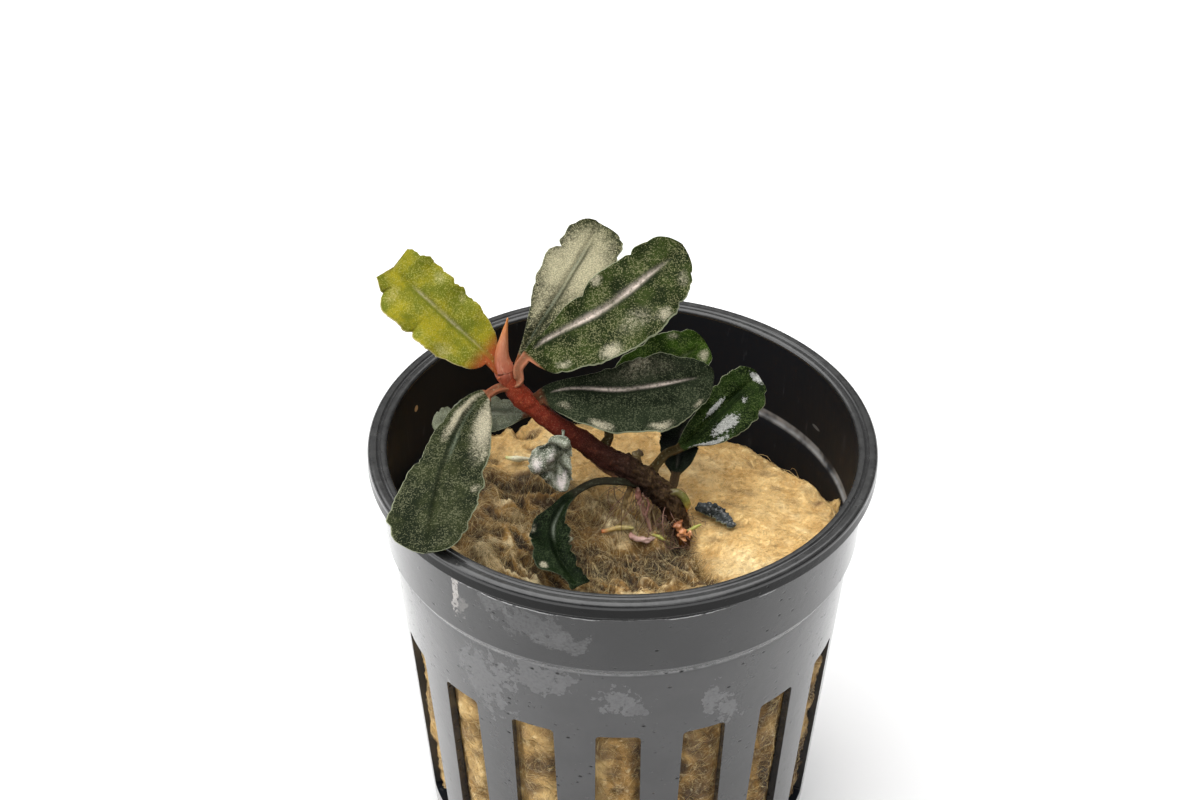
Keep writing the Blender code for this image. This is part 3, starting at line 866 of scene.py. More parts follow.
    def build(self, stem: Route, effects: Effects) -> None:
        """Makes the leaf, with the foot of its stalk sunk into the stem.

        Args:
            stem: The middle line of the stem.
            effects: The shared node groups.
        """
        columns = self.columns()
        across = np.concatenate([columns, columns[-2:0:-1]])
        upper = np.concatenate([np.ones(len(columns)), -np.ones(len(columns) - 2)])
        stalk_stations = self.STALK_STATIONS if self.blade_from else 0
        stalk = np.linspace(0.0, self.blade_from, stalk_stations, endpoint=False)
        share = np.concatenate([np.zeros(len(stalk)), np.linspace(0.0, 1.0, self.stations)])
        blade_places = self.blade_from + (self.route.last - self.blade_from) * share[len(stalk):]
        places = np.concatenate([stalk, blade_places])
        shape = (len(places), len(across))
        share = np.broadcast_to(share[:, None], shape)
        across = np.broadcast_to(across[None], shape)
        ragged = 0.25 * Ripples(self.seed + 5, 0.8, axes=1).at(across[..., None])
        bite = self.tear_depth * ease(share, 0.6, 1.0) * (1 - across**2 + ragged)
        place = np.broadcast_to(places[:, None], shape) - bite
        points, numbers = self.section(place, share, across, np.broadcast_to(upper[None], shape))
        points, numbers = self.close_ends(points, numbers, stem)
        blade = rolled_skin(self.name, points, numbers)
        blade.data.materials.append(self.finish.build(effects))
        hand_over(blade, self.slot, self.node)

    def close_ends(self, points: Array, numbers: dict[str, Array],
                   stem: Route) -> tuple[Array, dict[str, Array]]:
        """Sinks the stalk's foot into the stem and draws both ends to a point."""
        first = points[:1].mean(axis=1, keepdims=True)
        last = points[-1:].mean(axis=1, keepdims=True)
        feet = []
        if self.blade_from:
            inner = stem.nearest(first[0, 0])
            for sink, flare in ((0.75, 1.45), (0.4, 1.3)):
                middle = first + (inner - first) * sink
                feet.append(middle + (points[:1] - first) * flare)
            start = first + (inner - first) * 0.8
        else:
            start = first
        around = points.shape[1]
        rings = [np.broadcast_to(start, (1, around, 3)), *feet, points, np.broadcast_to(last, (1, around, 3))]
        padded = {}
        for label, grid in numbers.items():
            padded[label] = np.concatenate([grid[:1]] * (1 + len(feet)) + [grid, grid[-1:]])
        return np.concatenate(rings), padded


@dataclass(frozen=True)
class Stem:
    """The creeping stem: smooth and red at the crown, dark and scarred towards its foot."""

    route: Route = Route((
        (7.3, -7.0, 38.0), (7.0, -6.5, 41.0), (6.0, -5.8, 43.9), (4.9, -5.3, 46.2), (2.9, -4.7, 48.0),
        (0.8, -4.1, 49.3), (-1.9, -3.4, 50.5), (-4.6, -2.6, 52.2), (-7.2, -1.9, 53.7), (-9.4, -1.2, 55.3),
        (-11.4, -0.5, 57.1), (-12.6, 0.0, 59.3),
    ))
    radii: Numbers = (0.6, 0.75, 0.95, 1.15, 1.28, 1.30, 1.22, 1.12, 1.06, 1.06, 1.10, 0.82)
    scars: Numbers = (0.16, 0.23, 0.31, 0.40, 0.50, 0.61, 0.632, 0.655, 0.68, 0.80, 0.84, 0.90)
    sides: int = 56
    stations: int = 300
    bud_share: float = 0.47
    bud_spread: float = 0.028
    bud_height: float = 0.5

    LENGTH = 36.0
    OLD_BARK = (0.42, 0.66)
    NOISE_RADIUS = 1.4
    BARK_STRETCH = 5
    SCAR_HEIGHT = 0.065

    def relief(self, share: Array, turn: Array) -> Array:
        """What the scars, the bark and the bud add to the stem's radius."""
        spot = on_tube(self.LENGTH, self.NOISE_RADIUS, share, turn)
        old = 1 - ease(share, *self.OLD_BARK)
        bark = np.stack([spot[..., 0] / self.BARK_STRETCH, spot[..., 1], spot[..., 2]], axis=-1)
        total = Ripples(31, 2.0).at(spot) * (0.045 + 0.04 * old)
        total = total + (0.5 - np.abs(Ripples(32, 0.8).at(bark))) * 0.19 * old
        total = total + Ripples(33, 0.45).at(spot) * (0.014 + 0.045 * old)
        for number, scar in enumerate(self.scars):
            lean = 0.012 + 0.008 * math.cos(1.7 * number)
            place = scar + lean * np.sin(turn + 2.4 * number) + 0.004 * np.sin(3 * turn + number)
            edge = ease(share, place - 0.014, place) * (1 - ease(share, place, place + 0.004))
            total = total + edge * self.SCAR_HEIGHT * (0.55 + 0.45 * np.sin(turn - 1.3 * number))
        total = total + 0.35 * hump(share, 0.50, 0.07) * np.maximum(-np.sin(turn), 0.0) ** 2
        bud = self.bud_height * hump(share, self.bud_share, self.bud_spread)
        return total + bud * np.maximum(np.sin(turn), 0.0) ** 3

    def dress(self) -> Material:
        """The stem's skin, whose colour runs from the foot to the crown, with painted shade on the old part's
        underside and painted glints on the young part.
        """
        material, tree, shader = new_finish("stem_bark")
        place = tree.place()
        broad = tree.noise(place, 1.8, 3.0)
        streaks = tree.noise(place, 0.55, 4.0, 0.7)
        fine = tree.noise(place, 0.22, 3.0)
        grain = tree.noise(place, 0.10, 2.0)
        share = tree.attribute("share")
        upper = tree.attribute("upper")
        shifted = tree.plus(share, tree.times(tree.maths("SUBTRACT", broad, 0.5), 0.12))
        ground = tree.ramp(shifted, (
            (0.08, (0.360, 0.140, 0.030)), (0.17, (0.120, 0.048, 0.013)),
            (0.24, (0.028, 0.013, 0.005)), (0.33, (0.013, 0.007, 0.003)),
            (0.48, (0.024, 0.009, 0.006)), (0.60, (0.055, 0.012, 0.008)), (0.74, (0.140, 0.018, 0.009)),
            (0.88, (0.220, 0.027, 0.010)), (1.0, (0.27, 0.045, 0.018)),
        ))
        old = tree.step(share, 0.70, 0.45)
        young = tree.step(share, 0.45, 0.75, 0.12, 1.0)
        top = tree.times(old, tree.step(upper, -0.1, 0.8))
        bark = tree.mix(tree.step(streaks, 0.42, 0.62), (0.034, 0.019, 0.008), (0.120, 0.076, 0.034))
        sheath = tree.times(tree.step(share, 0.43, 0.47), tree.step(share, 0.60, 0.56),
                            tree.step(upper, -0.35, -0.6))
        colour = tree.over(
            ground,
            (tree.times(top, tree.step(share, 0.48, 0.40, 0.15, 0.85)), bark),
            (tree.times(tree.step(fine, 0.52, 0.70), top, 0.5), (0.130, 0.080, 0.066)),
            # Painted shade: the old part's underside is darkened.
            (tree.times(old, tree.step(upper, 0.1, -0.7, 0.0, 0.9)), (0.016, 0.008, 0.005)),
            (sheath, (0.25, 0.13, 0.075)),
            (tree.times(tree.step(streaks, 0.56, 0.74, 0.0, 0.45), young), (0.48, 0.13, 0.050)),
            # Painted glints: fine pale flecks on the young part.
            (tree.times(tree.step(grain, 0.58, 0.70, 0.0, 0.45), young), (0.64, 0.27, 0.15)),
            (tree.step(fine, 0.42, 0.26, 0.0, 0.6), (0.022, 0.008, 0.005)),
        )
        rough = tree.step(fine, 0.3, 0.7, 0.38, 0.62)
        tree.fill(shader, Base_Color=colour, Roughness=rough, Specular_IOR_Level=0.10)
        bump(tree, shader, tree.plus(fine, streaks, grain), 0.16, 1.0)
        return material

    def build(self) -> None:
        """Makes the stem."""
        stem = tube("stem_bark", self.route, self.radii, self.stations, self.sides, self.relief)
        stem.data.materials.append(self.dress())
        hand_over(stem, Slot.STEM, "rhizome")


@dataclass(frozen=True)
class Spear:
    """The rolled new leaf on the crown, with the edge of its outer turn running up it."""

    route: Route = Route((
        (-12.1, -0.2, 57.9), (-12.6, 0.0, 59.2), (-12.95, 0.2, 60.9), (-12.75, 0.3, 63.3), (-12.3, 0.2, 66.1),
    ))
    radii: Numbers = (0.80, 1.06, 0.80, 0.46, 0.08)
    seam_turn: float = 4.1
    stations: int = 90
    sides: int = 48

    def relief(self, share: Array, turn: Array) -> Array:
        """The step where the outer turn of the rolled blade ends, and shallow flutes."""
        turned = np.mod(turn - self.seam_turn - 1.5 * share, math.tau)
        step = (turned / math.tau - 0.5) * 0.26 * (1 - 0.6 * share)
        flutes = 0.02 * np.sin(5 * turned)
        return step + flutes

    def build(self) -> None:
        """Makes the spear."""
        spear = tube("new_leaf", self.route, self.radii, self.stations, self.sides, self.relief)
        material, tree, shader = new_finish("new_leaf")
        streaks = tree.noise(tree.place((1.0, 1.0, 0.35)), 0.30, 4.0)
        ground = tree.ramp(tree.attribute("share"), (
            (0.16, (0.27, 0.045, 0.019)), (0.36, (0.38, 0.100, 0.048)), (0.75, (0.52, 0.190, 0.090)),
            (0.95, (0.58, 0.19, 0.035)),
        ))
        colour = tree.over(ground, (tree.step(streaks, 0.5, 0.75, 0.0, 0.45), (0.62, 0.33, 0.20)),
                           (tree.step(streaks, 0.45, 0.25, 0.0, 0.5), (0.26, 0.045, 0.02)))
        tree.fill(shader, Base_Color=colour, Roughness=0.42)
        bump(tree, shader, streaks, 0.08, 0.4)
        spear.data.materials.append(material)
        hand_over(spear, Slot.NEW_LEAF, "new_leaf_spear")


@dataclass(frozen=True)
class Plug:
    """The plug of mineral wool: its felted top, its sloping back and its side in the slots."""

    top: float = 42.0
    gap: float = 0.12
    edges: tuple[tuple[float, float], ...] = (
        (-20.0, 24.6), (8.0, 21.0), (28.0, 15.4), (60.0, 13.2), (100.0, 13.8), (130.0, 17.5),
        (165.0, 22.0), (200.0, 24.6), (340.0, 24.6),
    )
    back_slope: float = 1.35
    back_depth: float = 7.5
    lumps: tuple[Point, ...] = (
        (15.0, -6.0, 5.5, 1.1), (-6.0, 4.0, 5.0, 0.7), (-13.0, -9.0, 4.5, 0.6), (-3.0, -12.5, 3.5, -1.0),
        (3.0, -19.0, 4.0, 0.8), (8.3, -11.8, 0.9, -1.3), (9.7, -14.0, 0.9, -1.4), (11.2, -16.3, 0.9, -1.1),
        (6.2, -8.2, 1.5, -2.0), (-10.7, 12.4, 1.1, -3.4), (-10.5, 9.3, 0.5, -1.2), (-9.5, 8.4, 0.55, -1.5),
        (-11.4, 1.6, 1.3, -1.4), (-4.0, -6.7, 2.0, -0.9), (-0.7, -8.1, 1.6, -1.1), (1.9, -9.4, 1.6, -1.0),
        (-7.5, -7.0, 1.4, -0.9), (14.6, -13.9, 3.0, 0.7),
    )
    # Spots of painted light (value above 0) and painted shade (under 0), partly the wool's own tone: each
    # spot's x, y, reach and value.
    shades: tuple[Point, ...] = (
        (12.0, -11.7, 2.6, 0.8), (14.8, -14.0, 2.8, 0.9), (9.3, 5.8, 3.0, 0.6), (-12.4, -13.6, 3.0, 0.55),
        (-16.2, -10.5, 3.0, 0.55), (-8.5, 9.5, 3.2, 0.5), (17.5, -3.0, 3.5, 0.3), (-7.0, 4.0, 2.5, 0.35),
        (3.0, -19.5, 3.0, 0.35), (1.0, -4.8, 3.2, 0.95), (12.2, -0.3, 3.0, -0.22), (2.0, 4.0, 4.0, 0.5),
        (-11.4, 1.6, 1.7, -0.9), (-3.4, -9.2, 2.8, -0.6), (1.0, -10.4, 2.8, -0.6), (4.0, -10.6, 2.2, -0.8),
        (6.1, -8.0, 1.9, -1.4), (-10.7, 12.4, 1.3, -1.7), (-18.0, -6.0, 2.0, -0.6), (20.7, -0.1, 1.6, -0.4),
        (-8.0, -2.6, 2.2, -0.6), (9.8, -14.0, 1.3, -0.8), (-10.0, 8.8, 0.8, -1.0),
    )
    seam: tuple[tuple[float, float], ...] = (
        (-26.0, 7.0), (-12.0, 5.5), (-5.0, 2.0), (1.0, -1.0), (6.0, -5.5), (8.0, -10.0), (12.0, -17.5),
        (14.0, -26.0),
    )
    around: int = 320
    top_rings: int = 120
    side_rings: int = 90
    floor: float = 1.7

    SIDE_FROM = (30.0, 36.0)
    NOISE_RADIUS = 23.0
    SWELL = 0.85

    def level_reach(self, angle_deg: Array) -> Array:
        """How far out the top stays level, at angles round the pot."""
        angle = np.mod(angle_deg + 20.0, 360.0) - 20.0
        reach = np.full(angle.shape, self.edges[0][1])
        for (first, near), (second, far) in zip(self.edges, self.edges[1:]):
            inside = (angle >= first) & (angle <= second)
            reach = np.where(inside, near + (far - near) * ease(angle, first, second), reach)
        return reach

    def brown(self, x: Array, y: Array) -> Array:
        """1 on the brown, shaggy front lobe and 0 on the golden one."""
        seam_x, seam_y = zip(*self.seam)
        return ease(np.interp(x, seam_x, seam_y) - y + 0.8 * flat_ripples(41, 4.0, x, y), -1.5, 2.0)

    def matted_and_shaded(self, spots: Array) -> Array:
        """How brown the wool's side is: patches from tan to dark brown, and browner towards +X as painted
        shade.
        """
        return np.clip(0.78 + 0.012 * spots[..., 0] + 0.30 * Ripples(48, 7.0).at(spots), 0.25, 1.0)

    def plain_height(self, x: Array, y: Array) -> Array:
        """The height of the wool's top over points of the pot, without its fine relief."""
        total = add_mounds(np.full(np.shape(x), self.top), x, y, self.lumps)
        return total + 0.25 * np.sin(0.9 * x + 0.4 * y) * np.cos(0.7 * y)

    def shade(self, x: Array, y: Array) -> Array:
        """Painted light and shade, partly the wool's own paler and darker tones: above 0 where the wool is
        painted bright and golden, under 0 where it is painted dark, in its creases, hollows and holes.
        """
        total = 0.18 * flat_ripples(47, 3.2, x, y)
        total = total + (0.04 + 0.86 * self.brown(x, y)) * (0.42 - self.ridge(x, y))
        return add_mounds(total, x, y, self.shades)

    def ridge(self, x: Array, y: Array) -> Array:
        """0 on the ridges of the felt's folds, and about 1 down in the creases."""
        return np.abs(flat_ripples(43, 2.1, (0.75 * x - 0.66 * y) / 3, 0.66 * x + 0.75 * y))

    def height(self, x: Array, y: Array) -> Array:
        """The height of the wool's top over points of the pot."""
        total = self.plain_height(x, y)
        shaggy = self.brown(x, y)
        total = total + (0.08 + 0.16 * shaggy) * flat_ripples(42, 3.2, x, y)
        total = total + (0.04 + 0.62 * shaggy) * (0.7 - self.ridge(x, y))
        total = total + (0.04 + 0.10 * shaggy) * flat_ripples(44, 0.7, x, y)
        past = np.hypot(x, y) - self.level_reach(np.degrees(np.arctan2(y, x)))
        past = past + 0.5 * flat_ripples(45, 3.0, x, y)
        past = np.where(past > -1.0, 0.5 * (past + np.sqrt(past**2 + 0.8)), 0.0)
        return total - np.minimum(past * self.back_slope, self.back_depth)

    def build(self, pot: "Pot") -> None:
        """Makes the plug's skin.

        Args:
            pot: The pot that the plug fills.
        """
        turn = math.tau * np.arange(self.around) / self.around
        shares = np.linspace(0.0, 1.0, self.top_rings + 1)[1:]
        reach = (shares**0.85)[:, None] * pot.ledge_radius
        x = reach * np.cos(turn)
        y = reach * np.sin(turn)
        z = self.height(x, y)
        limit = pot.inner_radius(z) - self.gap
        top = round_axis(np.minimum(np.hypot(x, y), limit), turn, z)
        edge = top[-1]
        sink = np.linspace(0.0, 1.0, self.side_rings + 1)[1:, None]
        z = edge[None, :, 2] * (1 - sink) + self.floor * sink
        side = round_axis(pot.inner_radius(z) - self.gap + self.bulge(pot, turn[None, :], z), turn, z)
        middle = np.array([[[0.0, 0.0, float(self.height(np.zeros(1), np.zeros(1))[0])]]])
        bottom = np.array([[[0.0, 0.0, self.floor]]])
        spread = (1, self.around, 3)
        rings = np.concatenate([np.broadcast_to(middle, spread), top, side, np.broadcast_to(bottom, spread)])
        x, y = rings[..., 0], rings[..., 1]
        low = 1 - ease(rings[..., 2], *self.SIDE_FROM)
        brown = self.brown(x, y) * (1 - low) + self.matted_and_shaded(rings) * low
        # Painted shade in the creases of the wool's side.
        creases = 0.45 * np.abs(Ripples(49, 5.0).at(rings))
        shade = self.shade(x, y) * (1 - low) - creases * low
        plug = rolled_skin("wool_plug", rings, {"brown": brown, "shade": shade})
        plug.data.materials.append(self.dress("wool_felt", False))
        hand_over(plug, Slot.WOOL, "mineral_wool")

    def bulge(self, pot: "Pot", turn: Array, z: Array) -> Array:
        """How far the wool's side swells into the slots."""
        pitch = math.tau / pot.slot_count
        start = math.radians(pot.slot_turn_deg)
        off = np.mod(turn - start + pitch / 2, pitch) - pitch / 2
        across = np.abs(off) * pot.inner_radius(z)
        inside = 1 - ease(across, pot.slot_width / 2 - 1.3, pot.slot_width / 2 - 0.25)
        tall = ease(z, pot.slot_bottom + 0.2, pot.slot_bottom + 2.5)
        tall = tall * (1 - ease(z, pot.slot_top - 2.6, pot.slot_top - 0.3))
        spot = round_axis(self.NOISE_RADIUS + 0 * z, turn, z + 0 * turn)
        rough = 0.55 + 0.25 * Ripples(51, 3.0).at(spot) + 0.15 * Ripples(52, 1.2).at(spot)
        return self.SWELL * inside * tall * np.clip(rough, 0.0, 1.0)

    def dress(self, name: str, fibres: bool) -> Material:
        """The wool's finish.

        Args:
            name: The material's name.
            fibres: True for the loose fibres, which each have a tint of their own.

        Returns:
            The material.
        """
        material, tree, shader = new_finish(name)
        place = tree.place()
        clouds = tree.step(tree.noise(place, 3.5, 4.0), 0.35, 0.65)
        mottle = tree.noise(place, 0.55, 3.0, 0.6)
        brown = tree.attribute("brown")
        shade = tree.attribute("shade")
        gold = tree.mix(clouds, (0.76, 0.49, 0.17), (0.93, 0.68, 0.30))
        dull = tree.mix(clouds, (0.135, 0.068, 0.014), (0.41, 0.230, 0.060))
        hollow_shade = tree.mix(brown, (0.34, 0.20, 0.085), (0.036, 0.020, 0.009))
        colour = tree.over(
            gold,
            (brown, dull),
            # Painted light where the shade is above 0; painted shade in the hollows, and black in the holes,
            # where it is under 0.
            (tree.step(shade, 0.05, 0.9, 0.0, 0.75), (0.98, 0.82, 0.48)),
            (tree.step(shade, 0.0, -0.75, 0.0, 0.88), hollow_shade),
            (tree.step(shade, -0.75, -1.3, 0.0, 0.9), (0.02, 0.012, 0.006)),
            (tree.step(mottle, 0.49, 0.32, 0.0, 0.38), (0.27, 0.15, 0.050)),
            (tree.step(mottle, 0.55, 0.70, 0.0, 0.38), (1.0, 0.84, 0.50)),
        )
        if fibres:
            tint = tree.attribute("tint")
            dark = tree.times(tree.step(tint, 0.40, 0.0, 0.0, 0.85), tree.step(brown, 0.0, 1.0, 0.3, 1.0))
            colour = tree.over(colour, (tree.step(tint, 0.55, 1.0, 0.0, 0.75), (1.0, 0.78, 0.38)),
                               (dark, (0.070, 0.032, 0.009)))
        else:
            fine = tree.noise(place, 0.26, 4.0, 0.7)
            colour = tree.over(colour, (tree.step(fine, 0.46, 0.28, 0.0, 0.55), (0.16, 0.085, 0.026)),
                               (tree.step(fine, 0.60, 0.78, 0.0, 0.35), (0.90, 0.72, 0.40)))
            bump(tree, shader, fine, 0.22, 0.8)
        tree.fill(shader, Base_Color=colour, Roughness=0.42 if fibres else 0.75)
        return material


@dataclass(frozen=True)
class Smear:
    """A ragged patch on the pot: where it is, how far it reaches, and its look."""

    middle: Point
    reach: Point
    colour: Colour
    strength: float = 1.0
    ragged: float = 0.5

    def mask(self, tree: Tree, effects: Effects, place: Socket, noise: Socket) -> Socket:
        """Where the patch lies, from 0 to 1.

        Args:
            tree: The material's tree.
            effects: The shared node groups.
            place: Object coordinates in mm.
            noise: What makes its outline ragged.

        Returns:
            The mask.
        """
        made = tree.group(effects.patch, Place=place, Middle=self.middle, Reach=self.reach,
                          Noise=noise, Ragged=self.ragged * 2)
        return made.outputs["Mask"]


@dataclass(frozen=True)
class Pot:
    """The turned and slotted pot of glossy black plastic."""

    height: float = 50.0
    rim_radius: float = 27.5
    lip_drop: float = 2.0
    collar_top: float = 26.3
    collar_foot: tuple[float, float] = (25.75, 40.0)
    shoulder: tuple[float, float] = (25.05, 38.4)
    foot_radius: float = 21.0
    mouth_radius: float = 25.35
    ledge_radius: float = 24.85
    ledge_height: float = 39.6
    wall: float = 1.0
    base: float = 1.2
    slot_count: int = 16
    slot_turn_deg: float = -90.6
    slot_width: float = 4.8
    slot_top: float = 28.9
    slot_bottom: float = 5.0
    slot_corner: float = 0.5
    edge_round: float = 0.14
    steps: int = 192
    smears: tuple[Smear, ...] = (
        Smear((-17.4, -20.0, 45.2), (0.30, 2.0, 2.8), (0.50, 0.47, 0.44), 0.85, 2.6),
        Smear((-16.9, -20.4, 43.2), (0.7, 2.0, 1.5), (0.20, 0.19, 0.18), 0.6, 2.2),
        Smear((-9.6, -24.4, 44.6), (4.4, 3.0, 2.0), (0.075, 0.075, 0.076), 0.8, 1.9),
        Smear((-6.4, -25.3, 43.0), (3.2, 3.0, 1.3), (0.085, 0.085, 0.086), 0.8, 1.8),
        Smear((-13.6, -22.4, 45.6), (1.6, 3.0, 1.3), (0.095, 0.095, 0.095), 0.8, 2.4),
        Smear((-0.5, -24.6, 34.6), (1.9, 3.0, 1.5), (0.135, 0.135, 0.137), 0.8, 2.6),
        Smear((1.6, -24.6, 33.2), (1.4, 3.0, 1.2), (0.125, 0.125, 0.127), 0.7, 2.6),
        Smear((9.6, -22.9, 33.0), (0.9, 3.0, 2.4), (0.150, 0.150, 0.152), 0.8, 2.6),
        Smear((11.4, -22.4, 30.6), (1.6, 3.0, 1.8), (0.150, 0.150, 0.152), 0.8, 2.6),
        Smear((-8.7, -23.6, 36.6), (3.6, 3.0, 2.2), (0.120, 0.120, 0.122), 0.8, 2.2),
        Smear((-14.6, -20.4, 33.5), (3.0, 3.0, 4.0), (0.130, 0.130, 0.132), 0.8, 2.2),
        Smear((24.6, 3.8, 42.5), (1.2, 2.2, 3.0), (0.40, 0.39, 0.38), 0.45, 2.2),
        Smear((-10.0, 23.5, 45.0), (4.0, 3.0, 1.6), (0.110, 0.110, 0.111), 0.8, 2.2),
        Smear((14.0, 19.0, 30.0), (2.4, 3.0, 3.0), (0.140, 0.140, 0.141), 0.8, 2.4),
        Smear((-20.0, 8.0, 28.0), (3.0, 2.4, 2.4), (0.140, 0.140, 0.141), 0.8, 2.4),
    )

    # Orange and brown bits on the inside, and grey streaks that are painted highlights on the inner wall and
    # the ledge.
    flakes_and_glints: tuple[Smear, ...] = (
        Smear((-22.6, 10.6, 46.2), (0.5, 0.5, 0.5), (0.45, 0.30, 0.16)),
        Smear((24.5, 3.4, 46.0), (0.25, 0.3, 0.25), (0.55, 0.22, 0.05)),
        Smear((24.2, 5.0, 44.6), (0.2, 0.25, 0.2), (0.50, 0.20, 0.05)),
        Smear((-9.0, 23.2, 46.0), (3.2, 1.5, 0.5), (0.10, 0.10, 0.10)),
        Smear((23.6, -0.8, 42.2), (1.0, 1.6, 1.2), (0.26, 0.26, 0.25)),
        Smear((21.6, 11.0, 42.6), (0.5, 3.4, 0.30), (0.10, 0.10, 0.10)),
        Smear((23.6, 2.0, 38.4), (1.0, 2.2, 1.1), (0.22, 0.22, 0.23)),
        Smear((14.0, 20.4, 44.4), (2.4, 1.0, 0.22), (0.06, 0.06, 0.06)),
    )

    CUTTER_REACH = 23.0
    CUTTER_DEPTH = 8.0
    SHARP_DEG = 60
    SMOOTH_DEG = 24
    BLACK = (0.003, 0.003, 0.003)

    def inner_radius(self, z: Array) -> Array:
        """The radius of the pot's inside at heights."""
        top = self.shoulder[0] - self.wall
        foot = self.foot_radius - self.wall
        low = foot + (top - foot) * np.clip(z / self.shoulder[1], 0.0, 1.0)
        return low + (self.ledge_radius - top) * ease(z, self.shoulder[1], self.ledge_height)

    def profile(self) -> list[tuple[float, float]]:
        """The turned section as (radius, height), from the bottom's middle to the floor's."""
        lip = self.height - self.lip_drop
        line = [(0.0, 0.35), (self.foot_radius - 1.6, 0.35), (self.foot_radius - 1.3, 0.0)]
        line += self.bend((self.foot_radius - 0.55, 0.55), 0.55, -90, 0)
        slope = (self.shoulder[0] - self.foot_radius) / self.shoulder[1]
        for height in (self.slot_bottom - 0.8, self.slot_top + 0.8, self.shoulder[1] - 3.0,
                       self.shoulder[1] - 0.6):
            line += [(self.foot_radius + slope * height, height)]
        line += self.bend((self.shoulder[0] + 0.35, self.shoulder[1] + 0.05), 0.38, 180, 145)
        line += self.bend((self.collar_foot[0] - 0.50, self.collar_foot[1] - 0.2), 0.50, -35, 0)
        line += [(self.collar_top, lip - 0.5)]
        line += self.bend((self.collar_top + 0.3, lip - 0.3), 0.3, 180, 90)
        line += self.bend((self.rim_radius - 0.35, lip + 0.35), 0.35, -90, 0)
        line += self.bend((self.rim_radius - 0.5, self.height - 0.5), 0.5, 0, 100)
        line += self.bend((self.rim_radius - 1.2, self.height + 0.08), 0.30, -20, -160)
        line += self.bend((self.mouth_radius + 0.42, self.height - 0.42), 0.42, 90, 180)
        line += [(self.ledge_radius + 0.05, self.ledge_height + 0.9)]
        line += self.bend((self.ledge_radius - 0.45, self.ledge_height + 0.35), 0.45, 0, -60)
        line += [(self.shoulder[0] - self.wall + 0.12, self.shoulder[1] - 0.1)]
        line += [(self.foot_radius - self.wall + 0.12, self.base + 0.4)]
        line += [(self.foot_radius - self.wall - 0.4, self.base), (0.0, self.base)]
        return line

    def bend(self, middle: tuple[float, float], radius: float, start_deg: float,
             end_deg: float) -> list[tuple[float, float]]:
        """Points of an arc of the section."""
        count = max(3, round(abs(end_deg - start_deg) / 15))
        angles = [math.radians(start_deg + (end_deg - start_deg) * step / count) for step in range(count + 1)]
        x, z = middle
        return [(x + radius * math.cos(angle), z + radius * math.sin(angle)) for angle in angles]

    def turn_shell(self) -> Piece:
        """Draws the section point by point and turns it once round."""
        clear_selection()
        bpy.ops.mesh.primitive_plane_add(size=MM)
        shell = bpy.context.object
        shell.name = "pot_shell"
        bpy.ops.object.mode_set(mode="EDIT")
        bpy.ops.mesh.select_all(action="SELECT")
        bpy.ops.mesh.merge(type="CENTER")
        before = (0.0, 0.0)
        for radius, height in self.profile():
            step = ((radius - before[0]) * MM, 0.0, (height - before[1]) * MM)
            if before == (0.0, 0.0):
                bpy.ops.transform.translate(value=step)
            else:
                bpy.ops.mesh.extrude_vertices_move(TRANSFORM_OT_translate={"value": step})
            before = (radius, height)
        bpy.ops.mesh.select_all(action="SELECT")
        bpy.ops.mesh.spin(steps=self.steps, angle=math.tau, center=(0, 0, 0), axis=(0, 0, 1))
        bpy.ops.mesh.select_all(action="SELECT")
        bpy.ops.mesh.remove_doubles(threshold=2 * WELD)
        bpy.ops.mesh.normals_make_consistent(inside=False)
        bpy.ops.object.mode_set(mode="OBJECT")
        return shell

    def slot_cutter(self) -> Piece:
        """One block with rounded corners, copied round the pot for every slot."""
        middle = (self.slot_top + self.slot_bottom) / 2
        blocks = []
        for number in range(self.slot_count):
            clear_selection()
            turn = math.radians(self.slot_turn_deg) + math.tau * number / self.slot_count
            bpy.ops.mesh.primitive_cube_add(size=1.0, location=(0, 0, 0))
            block = bpy.context.object
            bpy.ops.object.mode_set(mode="EDIT")
            bpy.ops.mesh.select_all(action="SELECT")
            bpy.ops.transform.resize(
                value=(self.CUTTER_DEPTH * MM, self.slot_width * MM, (self.slot_top - self.slot_bottom) * MM)
            )
            self.select_through_edges(block)
            bpy.ops.mesh.bevel(offset=self.slot_corner * MM, segments=5)
            bpy.ops.object.mode_set(mode="OBJECT")
            shift = Matrix.Translation(Vector((self.CUTTER_REACH, 0.0, middle)) * MM)
            block.data.transform(Matrix.Rotation(turn, 4, "Z") @ shift)
            blocks.append(block)
        clear_selection()
        for block in blocks:
            block.select_set(True)
        bpy.context.view_layer.objects.active = blocks[0]
        bpy.ops.object.join()
        return bpy.context.object

    def select_through_edges(self, block: Piece) -> None:
        """Selects the four edges of a block that run through the wall."""
        bpy.ops.mesh.select_all(action="DESELECT")
        bpy.ops.mesh.select_mode(type="EDGE")
        bpy.ops.object.mode_set(mode="OBJECT")
        for edge in block.data.edges:
            first, second = (block.data.vertices[index].co for index in edge.vertices)
            edge.select = abs(first.x - second.x) > MM
        bpy.ops.object.mode_set(mode="EDIT")

    def cut_slots(self, shell: Piece) -> None:
        """Cuts the slots through the wall and breaks their edges."""
        cutter = self.slot_cutter()
        make_active(shell)
        cut = shell.modifiers.new("slots", "BOOLEAN")
        cut.object = cutter
        bpy.ops.object.modifier_apply(modifier=cut.name)
        bpy.data.objects.remove(cutter)
        bpy.ops.object.mode_set(mode="EDIT")
        bpy.ops.mesh.select_mode(type="EDGE")
        bpy.ops.mesh.select_all(action="DESELECT")
        bpy.ops.object.mode_set(mode="OBJECT")
        self.select_slot_edges(shell.data)
        bpy.ops.object.mode_set(mode="EDIT")
        bpy.ops.mesh.bevel(offset=self.edge_round * MM, segments=2, clamp_overlap=True)
        bpy.ops.object.mode_set(mode="OBJECT")

